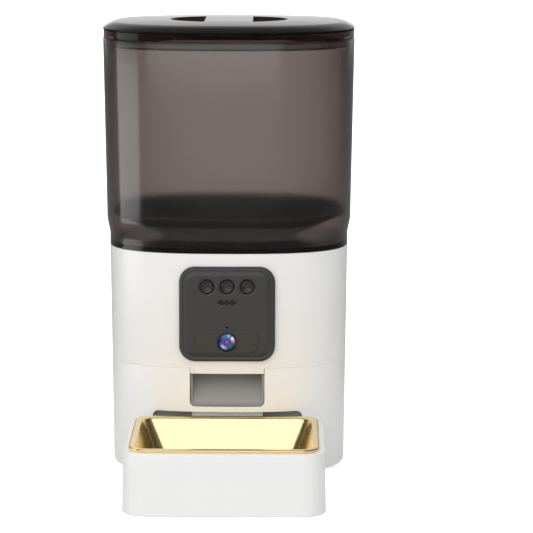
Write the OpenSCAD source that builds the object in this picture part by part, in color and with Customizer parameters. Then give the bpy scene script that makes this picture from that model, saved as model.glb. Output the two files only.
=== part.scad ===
// Automatic pet feeder with a camera: a smoked food tank on a white body, a rotor that doses
// the food down a chute, and a pull-out tray with a steel bowl in front.
// Millimetres. The front is -Y and up is +Z. The origin lies on the floor, under the middle of
// the whole outline.

/* [Body] */
// Width of the body at its rim
body_w = 190; // [180:1:215]
// Depth of the body at its rim
body_d = 142; // [140:1:165]
// Height of the body rim above the floor
rim_z = 178.6; // [178:0.2:186]
// Height of the seam between the lower and the upper shell
seam_z = 87.4; // [86:0.2:89]
// How far each side leans in from the rim down to the floor
body_lean = 2; // [0:0.1:3]
// Squareness of the plan outline, where 2 is an ellipse
plan_power = 2.8; // [2.6:0.1:3.6]
// Thickness of the shell walls
wall = 2.5; // [2:0.1:3]
// Height of the rubber feet
foot_h = 3; // [2:0.2:5]
// Radius of the rubber feet
foot_r = 8; // [6:0.5:9]
// Thickness of the base plate
base_t = 3; // [2.4:0.2:4]
// Height of the lip that joins the two shells
lip_h = 3; // [2:0.2:4]

/* [Tank] */
// Height of the tank rim above the floor
tank_rim_z = 343; // [300:1:380]
// How far the tank stands out from the body rim at its top
tank_out = 4.6; // [3:0.1:6]
// How far the tank stands out from the body rim at its shoulder
shoulder_out = 2.2; // [1:0.1:3]
// Height of the straight neck above the body rim
neck_h = 9.4; // [7:0.2:12]
// Height of the sloped shoulder above the neck
shoulder_h = 11; // [6:0.5:16]
// Thickness of the tank wall
tank_wall = 2.4; // [2:0.1:3]
// Thickness of the tank floor
tank_floor_t = 3; // [2.4:0.2:4]
// Height of the funnel liner
funnel_h = 24; // [16:1:34]
// Thickness of the funnel liner
funnel_t = 1.8; // [1.4:0.1:2.4]

/* [Lid] */
// Height of the smoked band between the tank rim and the lid plate
lid_band_h = 6.6; // [5:0.2:9]
// How far the band stands in from the tank outline
lid_band_in = 0.4; // [0.2:0.1:1]
// Height of the upright edge of the lid plate
lid_edge_h = 1.2; // [1:0.1:3]
// Height of the rolled edge of the top
lid_roll_h = 3.8; // [2.6:0.1:5]
// Width of the rolled edge of the top
lid_roll_w = 12; // [8:0.5:16]
// Height of the crown of the top
lid_crown_h = 1.6; // [1:0.1:3]
// Distance from the edge over which the crown rises
lid_crown_w = 60; // [40:1:66]
// How far the skirt reaches down into the tank
lid_skirt_h = 7; // [5:0.5:12]
// Thickness of the skirt and of the finger pockets
lid_wall = 1.8; // [1.4:0.1:2.4]
// Thickness of the lid's top
lid_top_t = 2.6; // [2:0.1:3]
// Width of the round grip across the lid
grip_w = 92.4; // [80:0.4:104]
// Depth of the round grip
grip_d = 67.5; // [56:0.5:80]
// Width of the bar between the two finger pockets
grip_bar_w = 38.8; // [30:0.4:46]
// Thickness of the silicone seal
seal_t = 3; // [2:0.2:4]

/* [Tray and bowl] */
// Width of the tray at its top
tray_w = 150.6; // [140:0.2:160]
// Length of the tray from front to back
tray_l = 122; // [104:1:140]
// Height of the tray
tray_h = 47.3; // [46:0.1:48]
// How far the tray widens on each side towards the floor
tray_lean = 1.2; // [0:0.1:3]
// Corner radius of the tray
tray_corner = 18; // [14:0.5:24]
// Thickness of the tray walls
tray_wall = 2.4; // [2:0.1:3]
// Width of the white rim around the bowl
tray_rim = 3.7; // [3:0.1:6]
// Width of the tongue that hooks into the body
tongue_w = 56; // [40:1:80]
// How far the tongue reaches into the body
tongue_l = 13; // [8:0.5:16]
// How far the bowl's rim stands above the tray
bowl_proud = 2.7; // [1.6:0.1:3.4]
// Width of the bowl's flat flange
bowl_flange = 5.2; // [4:0.1:7]
// Thickness of the bowl's sheet
bowl_t = 1; // [0.8:0.1:1.4]
// Depth of the bowl
bowl_depth = 33; // [24:0.5:36]
// How far the bowl's walls slope in
bowl_slope = 11; // [6:0.5:16]

/* [Panel] */
// Width and height of the front panel
panel_w = 75; // [74:0.5:78]
// Height of the middle of the panel above the floor
panel_z = 131; // [130:0.5:132]
// Corner radius of the panel
panel_corner = 12.5; // [8:0.5:16]
// How far the panel stands out from the body
panel_out = 3.5; // [2:0.1:5]
// Thickness of the panel's face
panel_t = 3; // [2.6:0.1:3.6]
// Diameter of the buttons
button_dia = 11.5; // [10:0.1:12]
// Spacing of the buttons
button_pitch = 15.75; // [15.5:0.05:17]
// Height of the buttons above the middle of the panel
button_up = 22; // [21.5:0.1:23]
// Travel of the buttons
button_travel = 0.8; // [0.4:0.1:1]
// Diameter of the speaker and microphone holes
sound_hole = 1.4; // [1:0.1:1.8]
// Spacing of the speaker holes in a row
sound_pitch = 4.25; // [3.5:0.05:4.6]
// Spacing of the three rows of speaker holes
sound_row = 1.7; // [1.6:0.05:2.4]
// Height of the speaker above the middle of the panel
speaker_up = 9; // [8.5:0.1:9.4]
// How far the microphone lies below the middle of the panel
mic_down = 10; // [9.6:0.1:10.4]
// How far the lens lies below the middle of the panel
lens_down = 21.7; // [21.4:0.1:22]
// Diameter of the lens bezel
bezel_dia = 15.6; // [14:0.1:16]
// Diameter of the lens glass
glass_dia = 13.2; // [11:0.1:13.4]
// Width of the infrared window
window_w = 51; // [48:0.5:56]
// Height of the infrared window
window_h = 18.7; // [18:0.1:20]

/* [Chute and slot] */
// Width of the chute's opening
chute_w = 58.6; // [50:0.2:66]
// Height of the bottom of the chute's opening
chute_z = 56.7; // [55.5:0.1:58]
// How far the tab of the upper shell hangs into the opening
tab_h = 4.3; // [3:0.1:6]
// Corner radius at the bottom of the chute's opening
chute_corner = 4; // [2:0.5:6]
// Wall thickness of the chute
chute_wall = 1.6; // [1.2:0.1:2]
// Width of the slot for the tray's tongue
slot_w = 118; // [90:1:124]
// Height of the top of the slot
slot_top_z = 52.5; // [52.4:0.1:53.4]
// Height of the slot
slot_h = 12; // [10:0.5:14]
// Corner radius at the top of the slot
slot_corner = 5; // [2:0.5:5.5]

/* [Rotor] */
// Distance from the back of the body rim to the rotor's axis
rotor_inset = 57; // [56.4:0.1:57.4]
// Inside radius of the rotor housing
chamber_r = 48; // [45:0.5:49]
// Wall thickness of the rotor housing
chamber_wall = 2.4; // [2:0.1:2.6]
// Height of the deck's top above the floor
deck_z = 141; // [140:0.2:142]
// Thickness of the deck
deck_t = 3; // [2.6:0.1:3.4]
// Thickness of the rotor housing's floor
housing_floor_t = 3; // [2.4:0.1:3.6]
// Number of paddles
paddle_count = 6; // [4:1:8]
// Thickness of a paddle
paddle_t = 2.4; // [2:0.1:3]
// Height of the paddles
paddle_h = 25; // [20:0.5:26]
// Length of the soft tip of a paddle
tip_l = 10; // [6:0.5:14]
// Radius of the rotor's hub
hub_r = 11; // [10:0.5:13]
// Radius of the journal that turns in the housing's floor
journal_r = 8; // [7.4:0.1:9]
// Half angle of the outlet in the housing's floor
outlet_half = 28; // [20:1:29]

/* [Drive] */
// Gear module
gear_module = 0.8; // [0.7:0.05:0.85]
// Teeth of the large gear
gear_teeth = 40; // [36:1:41]
// Teeth of the pinion
pinion_teeth = 16; // [14:1:18]
// Face width of the gears
gear_t = 7; // [5:0.5:8]
// Radius of the drive shaft
shaft_r = 3; // [2.5:0.1:3.4]
// Radius of the motor's shaft
motor_shaft_r = 2; // [1.5:0.1:2.4]
// Radius of the motor
motor_r = 14; // [12:0.5:15]
// Length of the motor
motor_l = 34; // [28:1:38]
// Thickness of the motor plate
motor_plate_t = 3; // [2.4:0.2:4]

/* [Power] */
// Height of the power inlet above the floor
jack_z = 60; // [56:1:66]
// Radius of the power inlet's nose
jack_r = 4.5; // [4:0.1:5.5]
// Radius of the bore in the power inlet
jack_bore_r = 2.75; // [2.5:0.05:2.8]
// Diameter of a battery
cell_dia = 34.2; // [30:0.1:35]
// Length of a battery
cell_l = 61.5; // [50:0.5:62]

/* [Fits and fasteners] */
// Gap between pieces that slide or lift apart
fit_gap = 0.4; // [0.3:0.05:0.6]
// Radial clearance of a shaft in its bush
run_gap = 0.05; // [0.02:0.01:0.09]
// Clearance of pieces pressed or screwed together
seat_gap = 0.05; // [0.02:0.01:0.1]
// Radius of the case screws' thread
screw_r = 1.5; // [1.2:0.1:1.6]
// Length of the case screws' thread
screw_l = 10; // [8:0.5:12]

/* [Hidden] */
$fn = 64;
plan_steps = 64;
eps = 0.01;
through = 40;
funnel_edge = 2;

// Outline offsets from the body rim, and the plan's middle in the part's frame
function lean_out(z) = -body_lean * (rim_z - z) / rim_z;
lower_in = lean_out(foot_h) - wall;
upper_in = lean_out(seam_z) - wall;
neck_z = rim_z + neck_h;
shoulder_z = neck_z + shoulder_h;
tank_floor_z = rim_z + tank_floor_t;
tray_back_y = -(body_d / 2 + lean_out(tray_h) + fit_gap);
tray_front_y = tray_back_y - tray_l;
tray_mid_y = (tray_back_y + tray_front_y) / 2;
back_y = body_d / 2 + tank_out;
axis_y = (tray_lean - tray_front_y - back_y) / 2;
rotor_back = body_d / 2 - rotor_inset;
guide_t = 1.6;
guide_gap = 1.5;
guide_back_y = tray_back_y + tongue_l + guide_gap;

// Half width of the plan at a depth, and half depth at a width, for an outline offset
function plan_x(out, y) =
    (body_w / 2 + out) * pow(1 - pow(abs(y) / (body_d / 2 + out), plan_power), 1 / plan_power);
function plan_y(out, x) =
    (body_d / 2 + out) * pow(1 - pow(abs(x) / (body_w / 2 + out), plan_power), 1 / plan_power);

// Screw posts along the side walls
post_r = 4.5;
post_y = 24;
post_sink = 1.2;
upper_post_x = plan_x(upper_in, post_y) - post_r + post_sink;
lower_post_x = plan_x(lower_in, post_y) - post_r + post_sink;
case_post_h = 14;
base_post_h = 14;
head_r = 2.9;
head_h = 2.2;
screw_slack = 0.25;
clear_r = screw_r + screw_slack;
pilot_r = screw_r + seat_gap;
small_screw_r = 1;
small_head_r = 1.9;
small_head_h = 1.4;
small_slack = 0.2;
small_clear_r = small_screw_r + small_slack;

// Heights of the base, the deck and the drive
base_top_z = foot_h + base_t;
foot_sink = 1;
foot_inset_y = 33;
foot_inset_x = 29;
foot_y = body_d / 2 - foot_inset_y;
foot_x = body_w / 2 - foot_inset_x;
deck_low_z = deck_z - deck_t;
drive_room = 17;
plate_top_z = deck_low_z - drive_room;
plate_low_z = plate_top_z - motor_plate_t;
bush_t = 2;
bush_flange_w = 1.5;
bush_flange_t = 1.5;
bush_r = shaft_r + bush_t;
bush_flange_r = bush_r + bush_flange_w;
gear_gap = 1.5;
gear_z = plate_top_z + bush_flange_t + gear_gap;
gear_pitch_r = gear_module * gear_teeth / 2;
pinion_pitch_r = gear_module * pinion_teeth / 2;
motor_y = rotor_back + gear_pitch_r + pinion_pitch_r;
gear_hub_t = 4;
gear_hub_r = shaft_r + gear_hub_t;
pillar_r = 3.5;
pillar_x = 19;
pillar_front = 12;
pillar_back = 13;
pillar_front_y = rotor_back - pillar_front;
pillar_back_y = motor_y + pillar_back;
plate_screw_grip = 7;
boss_r = 5;
motor_screw_x = 8.4;
motor_screw_in = 4;

// Heights of the rotor housing
housing_gap = 1;
housing_z = deck_z + housing_gap;
housing_top_z = tank_floor_z;
chamber_z = housing_z + housing_floor_t;
rotor_z = chamber_z + fit_gap;
rotor_top_z = rotor_z + paddle_h;
baffle_t = 2.4;
baffle_up = 2.6;
baffle_gap = 1.5;
baffle_z = rotor_top_z + baffle_up;
ledge_t = 1.8;
paddle_r = chamber_r - fit_gap;
tip_in_r = paddle_r - tip_l;
outlet_in_r = 21;
outlet_rim = 2;
outlet_out_r = chamber_r - outlet_rim;
dog_r = 5.2;
dog_z = housing_z + fit_gap;
dog_h = 9;
dog_gap = 0.35;
dog_room = 1;
hub_up = 1.2;
socket_r = dog_r + dog_gap;
socket_top_z = dog_z + dog_h + dog_room;
hub_top_z = baffle_z + baffle_t + hub_up;
lug_x = 52;
lug_y = 19;
lug_r = 5;
lug_t = 3.5;
lug_screw_cap = 0.6;

// Front panel, from its face back to the boards
panel_face_y = -(body_d / 2 + lean_out(panel_z) + panel_out);
panel_back_y = panel_face_y + panel_t;
panel_wall = 2;
ear_w = 5;
ear_h = 60;
ear_t = 2.5;
ear_x = panel_w / 2 + ear_w;
ear_y = -(plan_y(upper_in, ear_x) - 0.25);
ear_screw_x = panel_w / 2 + ear_w / 2;
ear_screw_z = 24;
button_z = panel_z + button_up;
button_r = button_dia / 2;
button_proud = 0.4;
button_apart = 0.5;
button_flange_r = button_pitch / 2 - button_apart;
button_flange_t = 1;
button_back_y = panel_back_y + fit_gap + button_flange_t;
plunger_r = 2;
plunger_l = 2;
switch_gap = 0.3;
switch_y = button_back_y + plunger_l + button_travel + switch_gap;
switch_l = 4.2;
switch_w = 6;
button_board_y = switch_y + switch_l;
board_t = 1.6;
board_w = 60;
board_h = 16;
lens_z = panel_z - lens_down;
speaker_z = panel_z + speaker_up;
mic_z = panel_z - mic_down;
bezel_r = bezel_dia / 2;
glass_r = glass_dia / 2;
window_t = 1;
window_ledge = 2;
bezel_proud = 0.5;
bezel_l = panel_t + bezel_proud;
glass_t = 1.6;
glass_in = 0.3;
camera_depth = 13.9;
camera_board_y = panel_face_y + camera_depth;
camera_board_h = 24;
led_r = 2.4;
led_l = 5;
led_near_x = 13;
led_far_x = 19;
board_post_r = 2;
board_post_in = 3;
board_post_x = board_w / 2 - board_post_in;
speaker_w = 24;
speaker_h = 9.5;
speaker_t = 5;
mic_r = 3;
mic_t = 2.5;

// Chute profile, in the plane across the body
chute_out_w = chute_w - 2 * fit_gap;
chute_back_y = rotor_back - outlet_in_r;
chute_lead = 2;
chute_step = 6;
chute_knee = 10;
chute_sill = 1.5;
chute_roof_gap = 0.5;
chute_end_gap = 0.3;
chute_front_y = rotor_back - outlet_out_r - chute_lead;
chute_end_y = -(plan_y(lower_in, chute_w / 2) - chute_end_gap);
chute_step_z = deck_low_z - chute_step;
chute_floor_z = chute_z + chute_sill;
chute_roof_z = seam_z - tab_h - chute_roof_gap;
// The roof runs straight from the mouth to the knee, and stays behind the camera board's lower edge
chute_board_gap = 1.5;
chute_roof_slope = (lens_z - camera_board_h / 2 - chute_board_gap - chute_roof_z)
    / (camera_board_y + board_t + chute_board_gap - chute_end_y);
chute_knee_z = min(deck_low_z - chute_knee,
    chute_roof_z + chute_roof_slope * (chute_front_y - chute_wall - chute_end_y) - chute_wall);
chute_flange_t = 2;
chute_flange_w = 5;
chute_screw_x = (chute_out_w + chute_flange_w) / 2;

// Power inlet and batteries
jack_y = body_d / 2 + lean_out(jack_z);
jack_in_y = body_d / 2 + lower_in;
jack_body_w = 13;
jack_body_l = 12;
jack_seat = 0.15;
jack_depth = 9;
cells = 3;
box_wall = 2;
contact_t = 0.8;
cell_slack = 2;
spring_room = 3;
box_in_w = cells * cell_dia + cell_slack;
box_in_l = cell_l + spring_room;
box_h = cell_dia + cell_slack;
box_inset = 47;
box_y = body_d / 2 - box_inset;
cover_rest = 3;
cover_w = box_in_w - 2 * cover_rest;
cover_l = box_in_l - 2 * cover_rest;
cover_y = box_y - cover_l / 2;
hinge_r = base_t / 2;
hinge_y = cover_y + hinge_r;
hinge_z = foot_h + hinge_r;
hinge_pin_r = 0.8;
hinge_pin_l = 3;
main_board_w = 100;
main_board_inset = 13;
main_board_gap = 3.75;
main_board_front_y = main_board_inset - body_d / 2;
main_board_back_y = box_y - box_in_l / 2 - box_wall - main_board_gap;
main_board_l = main_board_back_y - main_board_front_y;
main_board_y = (main_board_front_y + main_board_back_y) / 2;
main_board_up = 14;
main_board_z = base_top_z + main_board_up;
main_post_r = 3;

// Shared shapes

// Points of the plan outline, offset from the body rim
function plan(out) = [
    for (i = [0 : plan_steps - 1])
        let (a = 360 * i / plan_steps, c = cos(a), s = sin(a))
            [(body_w / 2 + out) * sign(c) * pow(abs(c), 2 / plan_power),
             (body_d / 2 + out) * sign(s) * pow(abs(s), 2 / plan_power)]
];

// Points of an ellipse
function ellipse(w, d) = [
    for (i = [0 : plan_steps - 1])
        let (a = 360 * i / plan_steps) [w / 2 * cos(a), d / 2 * sin(a)]
];

// Moves a piece from the body's own middle to the part's frame
module placed() {
    translate([0, axis_y, 0]) children();
}

// Closed block through outlines of the plan, given as rows of height and offset
module plan_loft(rows) {
    n = plan_steps;
    last = len(rows) - 1;
    points = [for (row = rows, p = plan(row[1])) [p[0], p[1], row[0]]];
    sides = [for (r = [0 : last - 1], i = [0 : n - 1], k = [0, 1])
        let (j = (i + 1) % n, low = r * n, high = low + n)
            k == 0 ? [low + i, high + i, high + j] : [low + i, high + j, low + j]];
    floor_face = [for (i = [0 : n - 1]) i];
    roof_face = [for (i = [0 : n - 1]) last * n + n - 1 - i];
    polyhedron(points, concat([floor_face, roof_face], sides));
}

// Block whose outline changes from one offset to another over its height
module plan_block(z0, z1, out0, out1) {
    plan_loft([[z0, out0], [z1, out1]]);
}

// Block with the plan outline and upright sides
module plan_prism(z0, z1, out) {
    translate([0, 0, z0])
        linear_extrude(height = z1 - z0)
            polygon(plan(out));
}

// Flat shape seen from the front, from one depth back to another
module front_slab(y0, y1) {
    translate([0, y1, 0])
        rotate([90, 0, 0])
            linear_extrude(height = y1 - y0)
                children();
}

// Round rod that runs from front to back
module front_rod(x, z, r, y0, y1) {
    translate([x, y1, z])
        rotate([90, 0, 0])
            cylinder(r = r, h = y1 - y0);
}

// Upright rod
module rod(x, y, r, z0, z1) {
    translate([x, y, z0])
        cylinder(r = r, h = z1 - z0);
}

// Rod along the width, centred
module cross_rod(y, z, r, l) {
    translate([0, y, z])
        rotate([0, 90, 0])
            cylinder(r = r, h = l, center = true);
}

// Box between two corners
module box(low, high) {
    translate(low)
        cube(high - low);
}

// Rectangle with round corners
module rounded(w, h, r) {
    square([w - 2 * r, h], center = true);
    square([w, h - 2 * r], center = true);
    for (x = [-1, 1], y = [-1, 1])
        translate([x * (w / 2 - r), y * (h / 2 - r)])
            circle(r = r);
}

// Rectangle with round corners on one edge only
module half_rounded(w, z0, z1, r, round_top) {
    low = round_top ? z0 : z0 + r;
    translate([-w / 2, low])
        square([w, z1 - z0 - r]);
    translate([-w / 2 + r, z0])
        square([w - 2 * r, z1 - z0]);
    for (x = [-1, 1])
        translate([x * (w / 2 - r), round_top ? z1 - r : z0 + r])
            circle(r = r);
}

// Slice of a disc to each side of the front
module front_wedge(half, r) {
    polygon([[0, 0], [-r * tan(half), -r], [r * tan(half), -r]]);
}

// Screw that points up, with its head below
module screw(x, y, z, r, l, head, head_height) {
    rod(x, y, r, z, z + l);
    rod(x, y, head, z - head_height, z);
}

// The four screw posts of a shell
module each_post(x) {
    for (sx = [-1, 1], sy = [-1, 1])
        translate([sx * x, sy * post_y, 0])
            children();
}

// Outline of a spur gear with involute flanks
pressure_angle = 20;
function involute(a) = tan(a) * 180 / PI - a;
function flank_angle(teeth, r) =
    let (pitch_r = gear_module * teeth / 2, base_r = pitch_r * cos(pressure_angle))
        90 * tooth_share / teeth * 2 + involute(pressure_angle) - involute(acos(min(1, base_r / r)));
tooth_share = 0.88;
flank_steps = 4;
function gear_outline(teeth, turn) =
    let (
        pitch_r = gear_module * teeth / 2,
        root_r = pitch_r - 1.25 * gear_module,
        low_r = max(root_r + 0.1, pitch_r * cos(pressure_angle)),
        tip_r = pitch_r + 0.9 * gear_module
    )
    [
        for (t = [0 : teeth - 1], side = [-1, 1], k = [0 : flank_steps + 1])
            let (
                step = side < 0 ? k : flank_steps + 1 - k,
                r = step == 0 ? root_r : low_r + (tip_r - low_r) * (step - 1) / flank_steps,
                a = turn + 360 * t / teeth + side * flank_angle(teeth, max(r, low_r)) / 2
            )
            [r * cos(a), r * sin(a)]
    ];

// Base

module base_plate() {
    color("gainsboro") placed() {
        difference() {
            plan_prism(foot_h, base_top_z, lower_in - fit_gap);
            box([-cover_w / 2 - fit_gap, cover_y - fit_gap, 0],
                [cover_w / 2 + fit_gap, cover_y + cover_l + fit_gap, base_top_z + eps]);
            cross_rod(hinge_y, hinge_z, hinge_pin_r + run_gap, cover_w + 2 * (hinge_pin_l + fit_gap));
            for (x = [-1, 1], y = [-1, 1])
                rod(x * foot_x, y * foot_y, foot_r + seat_gap, foot_h - eps, foot_h + foot_sink);
            each_post(lower_post_x) {
                rod(0, 0, clear_r, 0, base_top_z + eps);
                rod(0, 0, head_r + seat_gap, foot_h - eps, foot_h + base_t / 2);
            }
        }
        for (x = [-1, 1], y = [-1, 1])
            rod(x * (main_board_w / 2 - main_post_r), main_board_y + y * (main_board_l / 2 - main_post_r),
                main_post_r, base_top_z, main_board_z);
    }
}

module feet() {
    color("dimgray") placed()
        for (x = [-1, 1], y = [-1, 1])
            rod(x * foot_x, y * foot_y, foot_r, 0, foot_h + foot_sink);
}

module base_screws() {
    color("silver") placed()
        each_post(lower_post_x)
            screw(0, 0, foot_h + base_t / 2, screw_r, screw_l, head_r, base_t / 2);
}

module battery_box() {
    color("dimgray") placed()
        difference() {
            box([-box_in_w / 2 - box_wall, box_y - box_in_l / 2 - box_wall, base_top_z],
                [box_in_w / 2 + box_wall, box_y + box_in_l / 2 + box_wall, base_top_z + box_h + box_wall]);
            box([-box_in_w / 2, box_y - box_in_l / 2, base_top_z - eps],
                [box_in_w / 2, box_y + box_in_l / 2, base_top_z + box_h]);
        }
}

module battery_contacts() {
    contact_w = 14;
    nub_r = 3;
    color("silver") placed()
        for (i = [0 : cells - 1], side = [-1, 1]) {
            x = (i - (cells - 1) / 2) * cell_dia;
            y = box_y + side * (box_in_l / 2 - contact_t / 2);
            z = base_top_z + cell_dia / 2;
            translate([x, y, z])
                cube([contact_w, contact_t, contact_w], center = true);
            translate([x, y - side * contact_t, z])
                rotate([90, 0, 0])
                    cylinder(r = nub_r, h = contact_t, center = true);
        }
}

module battery_cover() {
    grip_r = 9;
    grip_in = 1;
    color("gainsboro") placed()
        difference() {
            union() {
                box([-cover_w / 2, hinge_y, foot_h], [cover_w / 2, cover_y + cover_l, base_top_z]);
                cross_rod(hinge_y, hinge_z, hinge_r, cover_w);
                cross_rod(hinge_y, hinge_z, hinge_pin_r, cover_w + 2 * hinge_pin_l);
            }
            rod(0, cover_y + cover_l, grip_r, foot_h - eps, foot_h + grip_in);
        }
}

module main_board() {
    chip_w = 12;
    chip_t = 1.5;
    cap_r = 4;
    cap_h = 10;
    socket_w = 8;
    socket_h = 6;
    top = main_board_z + board_t;
    color("darkgreen") placed() {
        box([-main_board_w / 2, main_board_y - main_board_l / 2, main_board_z],
            [main_board_w / 2, main_board_y + main_board_l / 2, top]);
        box([-chip_w / 2, main_board_y - chip_w / 2, top],
            [chip_w / 2, main_board_y + chip_w / 2, top + chip_t]);
        for (x = [-1, 1])
            rod(x * main_board_w / 5, main_board_y + main_board_l / 4, cap_r, top, top + cap_h);
        for (i = [-1 : 1])
            translate([i * 2 * socket_w, main_board_y - main_board_l / 2 + socket_w / 2, top + socket_h / 2])
                cube([socket_w, socket_w / 2, socket_h], center = true);
    }
}

module wireless_module() {
    can = [16, 14, 2.6];
    x = main_board_w / 2 - can[0] - 6;
    y = main_board_y - can[1] / 2 - 4;
    color("silver") placed()
        box([x, y, main_board_z + board_t], [x + can[0], y + can[1], main_board_z + board_t + can[2]]);
}

// Shells

module lower_shell() {
    lip_t = 1.6;
    lip_root = 4;
    color("whitesmoke") placed()
        difference() {
            union() {
                difference() {
                    plan_block(foot_h, seam_z, lean_out(foot_h), lean_out(seam_z));
                    plan_prism(foot_h - eps, seam_z + eps, lower_in);
                }
                difference() {
                    plan_prism(seam_z - lip_root, seam_z + lip_h, upper_in - seat_gap);
                    plan_prism(seam_z - lip_root - eps, seam_z + lip_h + eps, lower_in - lip_t / 2);
                }
                intersection() {
                    plan_prism(slot_top_z - slot_h - guide_t, slot_top_z + guide_t, lower_in + wall / 2);
                    box([-slot_w / 2 - guide_t, -body_d, 0],
                        [slot_w / 2 + guide_t, guide_back_y + guide_t, rim_z]);
                }
                each_post(upper_post_x)
                    rod(0, 0, post_r, seam_z - case_post_h, seam_z);
                each_post(lower_post_x)
                    rod(0, 0, post_r, base_top_z, base_top_z + base_post_h);
            }
            front_slab(-body_d, -body_d / 4)
                half_rounded(chute_w, chute_z, seam_z + through, chute_corner, false);
            front_slab(-body_d, guide_back_y)
                half_rounded(slot_w, slot_top_z - slot_h, slot_top_z, slot_corner, true);
            each_post(upper_post_x) {
                rod(0, 0, clear_r, 0, seam_z + lip_h + eps);
                rod(0, 0, head_r + fit_gap, seam_z - case_post_h - head_h - fit_gap, seam_z - case_post_h);
            }
            each_post(lower_post_x)
                rod(0, 0, pilot_r, 0, base_top_z + screw_l);
            each_post(upper_post_x)
                rod(0, 0, post_r + seat_gap, seam_z, seam_z + lip_h + eps);
            front_rod(0, jack_z, jack_r + seat_gap, jack_in_y - wall, jack_y + through);
        }
}

module power_inlet() {
    pin_r = 1;
    nose_y = jack_y - 0.4;
    color("black") placed()
        difference() {
            union() {
                front_rod(0, jack_z, jack_r, jack_in_y - jack_body_l, nose_y);
                box([-jack_body_w / 2, jack_in_y - jack_body_l, jack_z - jack_body_w / 2],
                    [jack_body_w / 2, jack_in_y - jack_seat, jack_z + jack_body_w / 2]);
            }
            difference() {
                front_rod(0, jack_z, jack_bore_r, nose_y - jack_depth, nose_y + eps);
                front_rod(0, jack_z, pin_r, nose_y - jack_depth - eps, nose_y - 1);
            }
        }
}

module upper_shell() {
    pad_r = 3;
    pad_l = 6;
    pilot_l = 3;
    color("whitesmoke") placed()
        difference() {
            union() {
                difference() {
                    plan_block(seam_z, rim_z, lean_out(seam_z), 0);
                    plan_prism(seam_z - eps, rim_z + eps, upper_in);
                }
                each_post(upper_post_x)
                    rod(0, 0, post_r, seam_z, deck_low_z);
                intersection() {
                    difference() {
                        plan_prism(seam_z - tab_h, seam_z + eps, lean_out(seam_z));
                        plan_prism(seam_z - tab_h - eps, seam_z + 2 * eps, upper_in);
                    }
                    box([-chute_w / 2 + fit_gap, -body_d, 0], [chute_w / 2 - fit_gap, 0, rim_z]);
                }
                intersection() {
                    for (x = [-1, 1], z = [-1, 1])
                        front_rod(x * ear_screw_x, panel_z + z * ear_screw_z, pad_r, ear_y - pad_l, ear_y);
                    plan_prism(seam_z, rim_z, upper_in + wall / 2);
                }
            }
            front_slab(-body_d, -body_d / 4)
                translate([0, panel_z])
                    rounded(panel_w + 2 * seat_gap, panel_w + 2 * seat_gap, panel_corner + seat_gap);
            for (x = [-1, 1], z = [-1, 1])
                front_rod(x * ear_screw_x, panel_z + z * ear_screw_z, small_screw_r + seat_gap,
                    ear_y - pilot_l, ear_y + eps);
            each_post(upper_post_x) {
                rod(0, 0, pilot_r, seam_z - eps, seam_z + screw_l);
                rod(0, 0, pilot_r, deck_low_z - screw_l, deck_low_z + eps);
            }
        }
}

module case_screws() {
    color("silver") placed()
        each_post(upper_post_x)
            screw(0, 0, seam_z - case_post_h, screw_r, case_post_h + screw_l - 1, head_r, head_h);
}

// Front panel, camera and buttons

module front_panel() {
    inner = panel_w - 2 * panel_wall;
    color("#3f3d3c") placed()
        difference() {
            union() {
                front_slab(panel_face_y, ear_y + ear_t)
                    translate([0, panel_z])
                        rounded(panel_w, panel_w, panel_corner);
                for (x = [-1, 1])
                    translate([x * (panel_w + ear_w) / 2, ear_y + ear_t / 2, panel_z])
                        cube([ear_w + panel_wall, ear_t, ear_h], center = true);
            }
            difference() {
                front_slab(panel_back_y, 0)
                    translate([0, panel_z])
                        rounded(inner, inner, panel_corner - panel_wall);
                for (x = [-1, 1], z = [-1, 1]) {
                    front_rod(x * board_post_x, lens_z + z * (camera_board_h / 2 - board_post_in),
                        board_post_r, panel_back_y - eps, camera_board_y);
                    front_rod(x * board_post_x, button_z + z * (board_h / 2 - board_post_in), board_post_r,
                        panel_back_y - eps, button_board_y);
                }
            }
            for (i = [-1 : 1])
                front_rod(i * button_pitch, button_z, button_r + fit_gap,
                    panel_face_y - 1, panel_back_y + 1);
            for (row = [-1 : 1], i = [0 : row == 0 ? 3 : 2])
                front_rod((i - (row == 0 ? 1.5 : 1)) * sound_pitch, speaker_z + row * sound_row,
                    sound_hole / 2, panel_face_y - 1, panel_back_y + 1);
            front_rod(0, mic_z, sound_hole / 2, panel_face_y - 1, panel_back_y + 1);
            front_slab(panel_face_y - eps, panel_face_y + window_t)
                translate([0, lens_z])
                    rounded(window_w + 2 * seat_gap, window_h + 2 * seat_gap, window_h / 2);
            front_rod(0, lens_z, bezel_r + seat_gap, panel_face_y - 1, panel_back_y + 1);
            front_slab(panel_face_y, panel_back_y + 1)
                translate([0, lens_z])
                    rounded(window_w - 2 * window_ledge, window_h - 2 * window_ledge,
                        window_h / 2 - window_ledge - eps);
            for (x = [-1, 1], z = [-1, 1])
                front_rod(x * ear_screw_x, panel_z + z * ear_screw_z, small_clear_r, ear_y - 1, 0);
        }
}

module panel_screws() {
    shank = ear_t + 2.4;
    color("silver") placed()
        for (x = [-1, 1], z = [-1, 1]) {
            front_rod(x * ear_screw_x, panel_z + z * ear_screw_z, small_screw_r,
                ear_y + ear_t - shank, ear_y + ear_t);
            front_rod(x * ear_screw_x, panel_z + z * ear_screw_z, small_head_r,
                ear_y + ear_t, ear_y + ear_t + small_head_h);
        }
}

module infrared_window() {
    color("#2c2524") placed()
        difference() {
            front_slab(panel_face_y, panel_face_y + window_t)
                translate([0, lens_z])
                    rounded(window_w, window_h, window_h / 2 - eps);
            front_rod(0, lens_z, bezel_r + seat_gap, panel_face_y - 1, panel_face_y + window_t + 1);
        }
}

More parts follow.
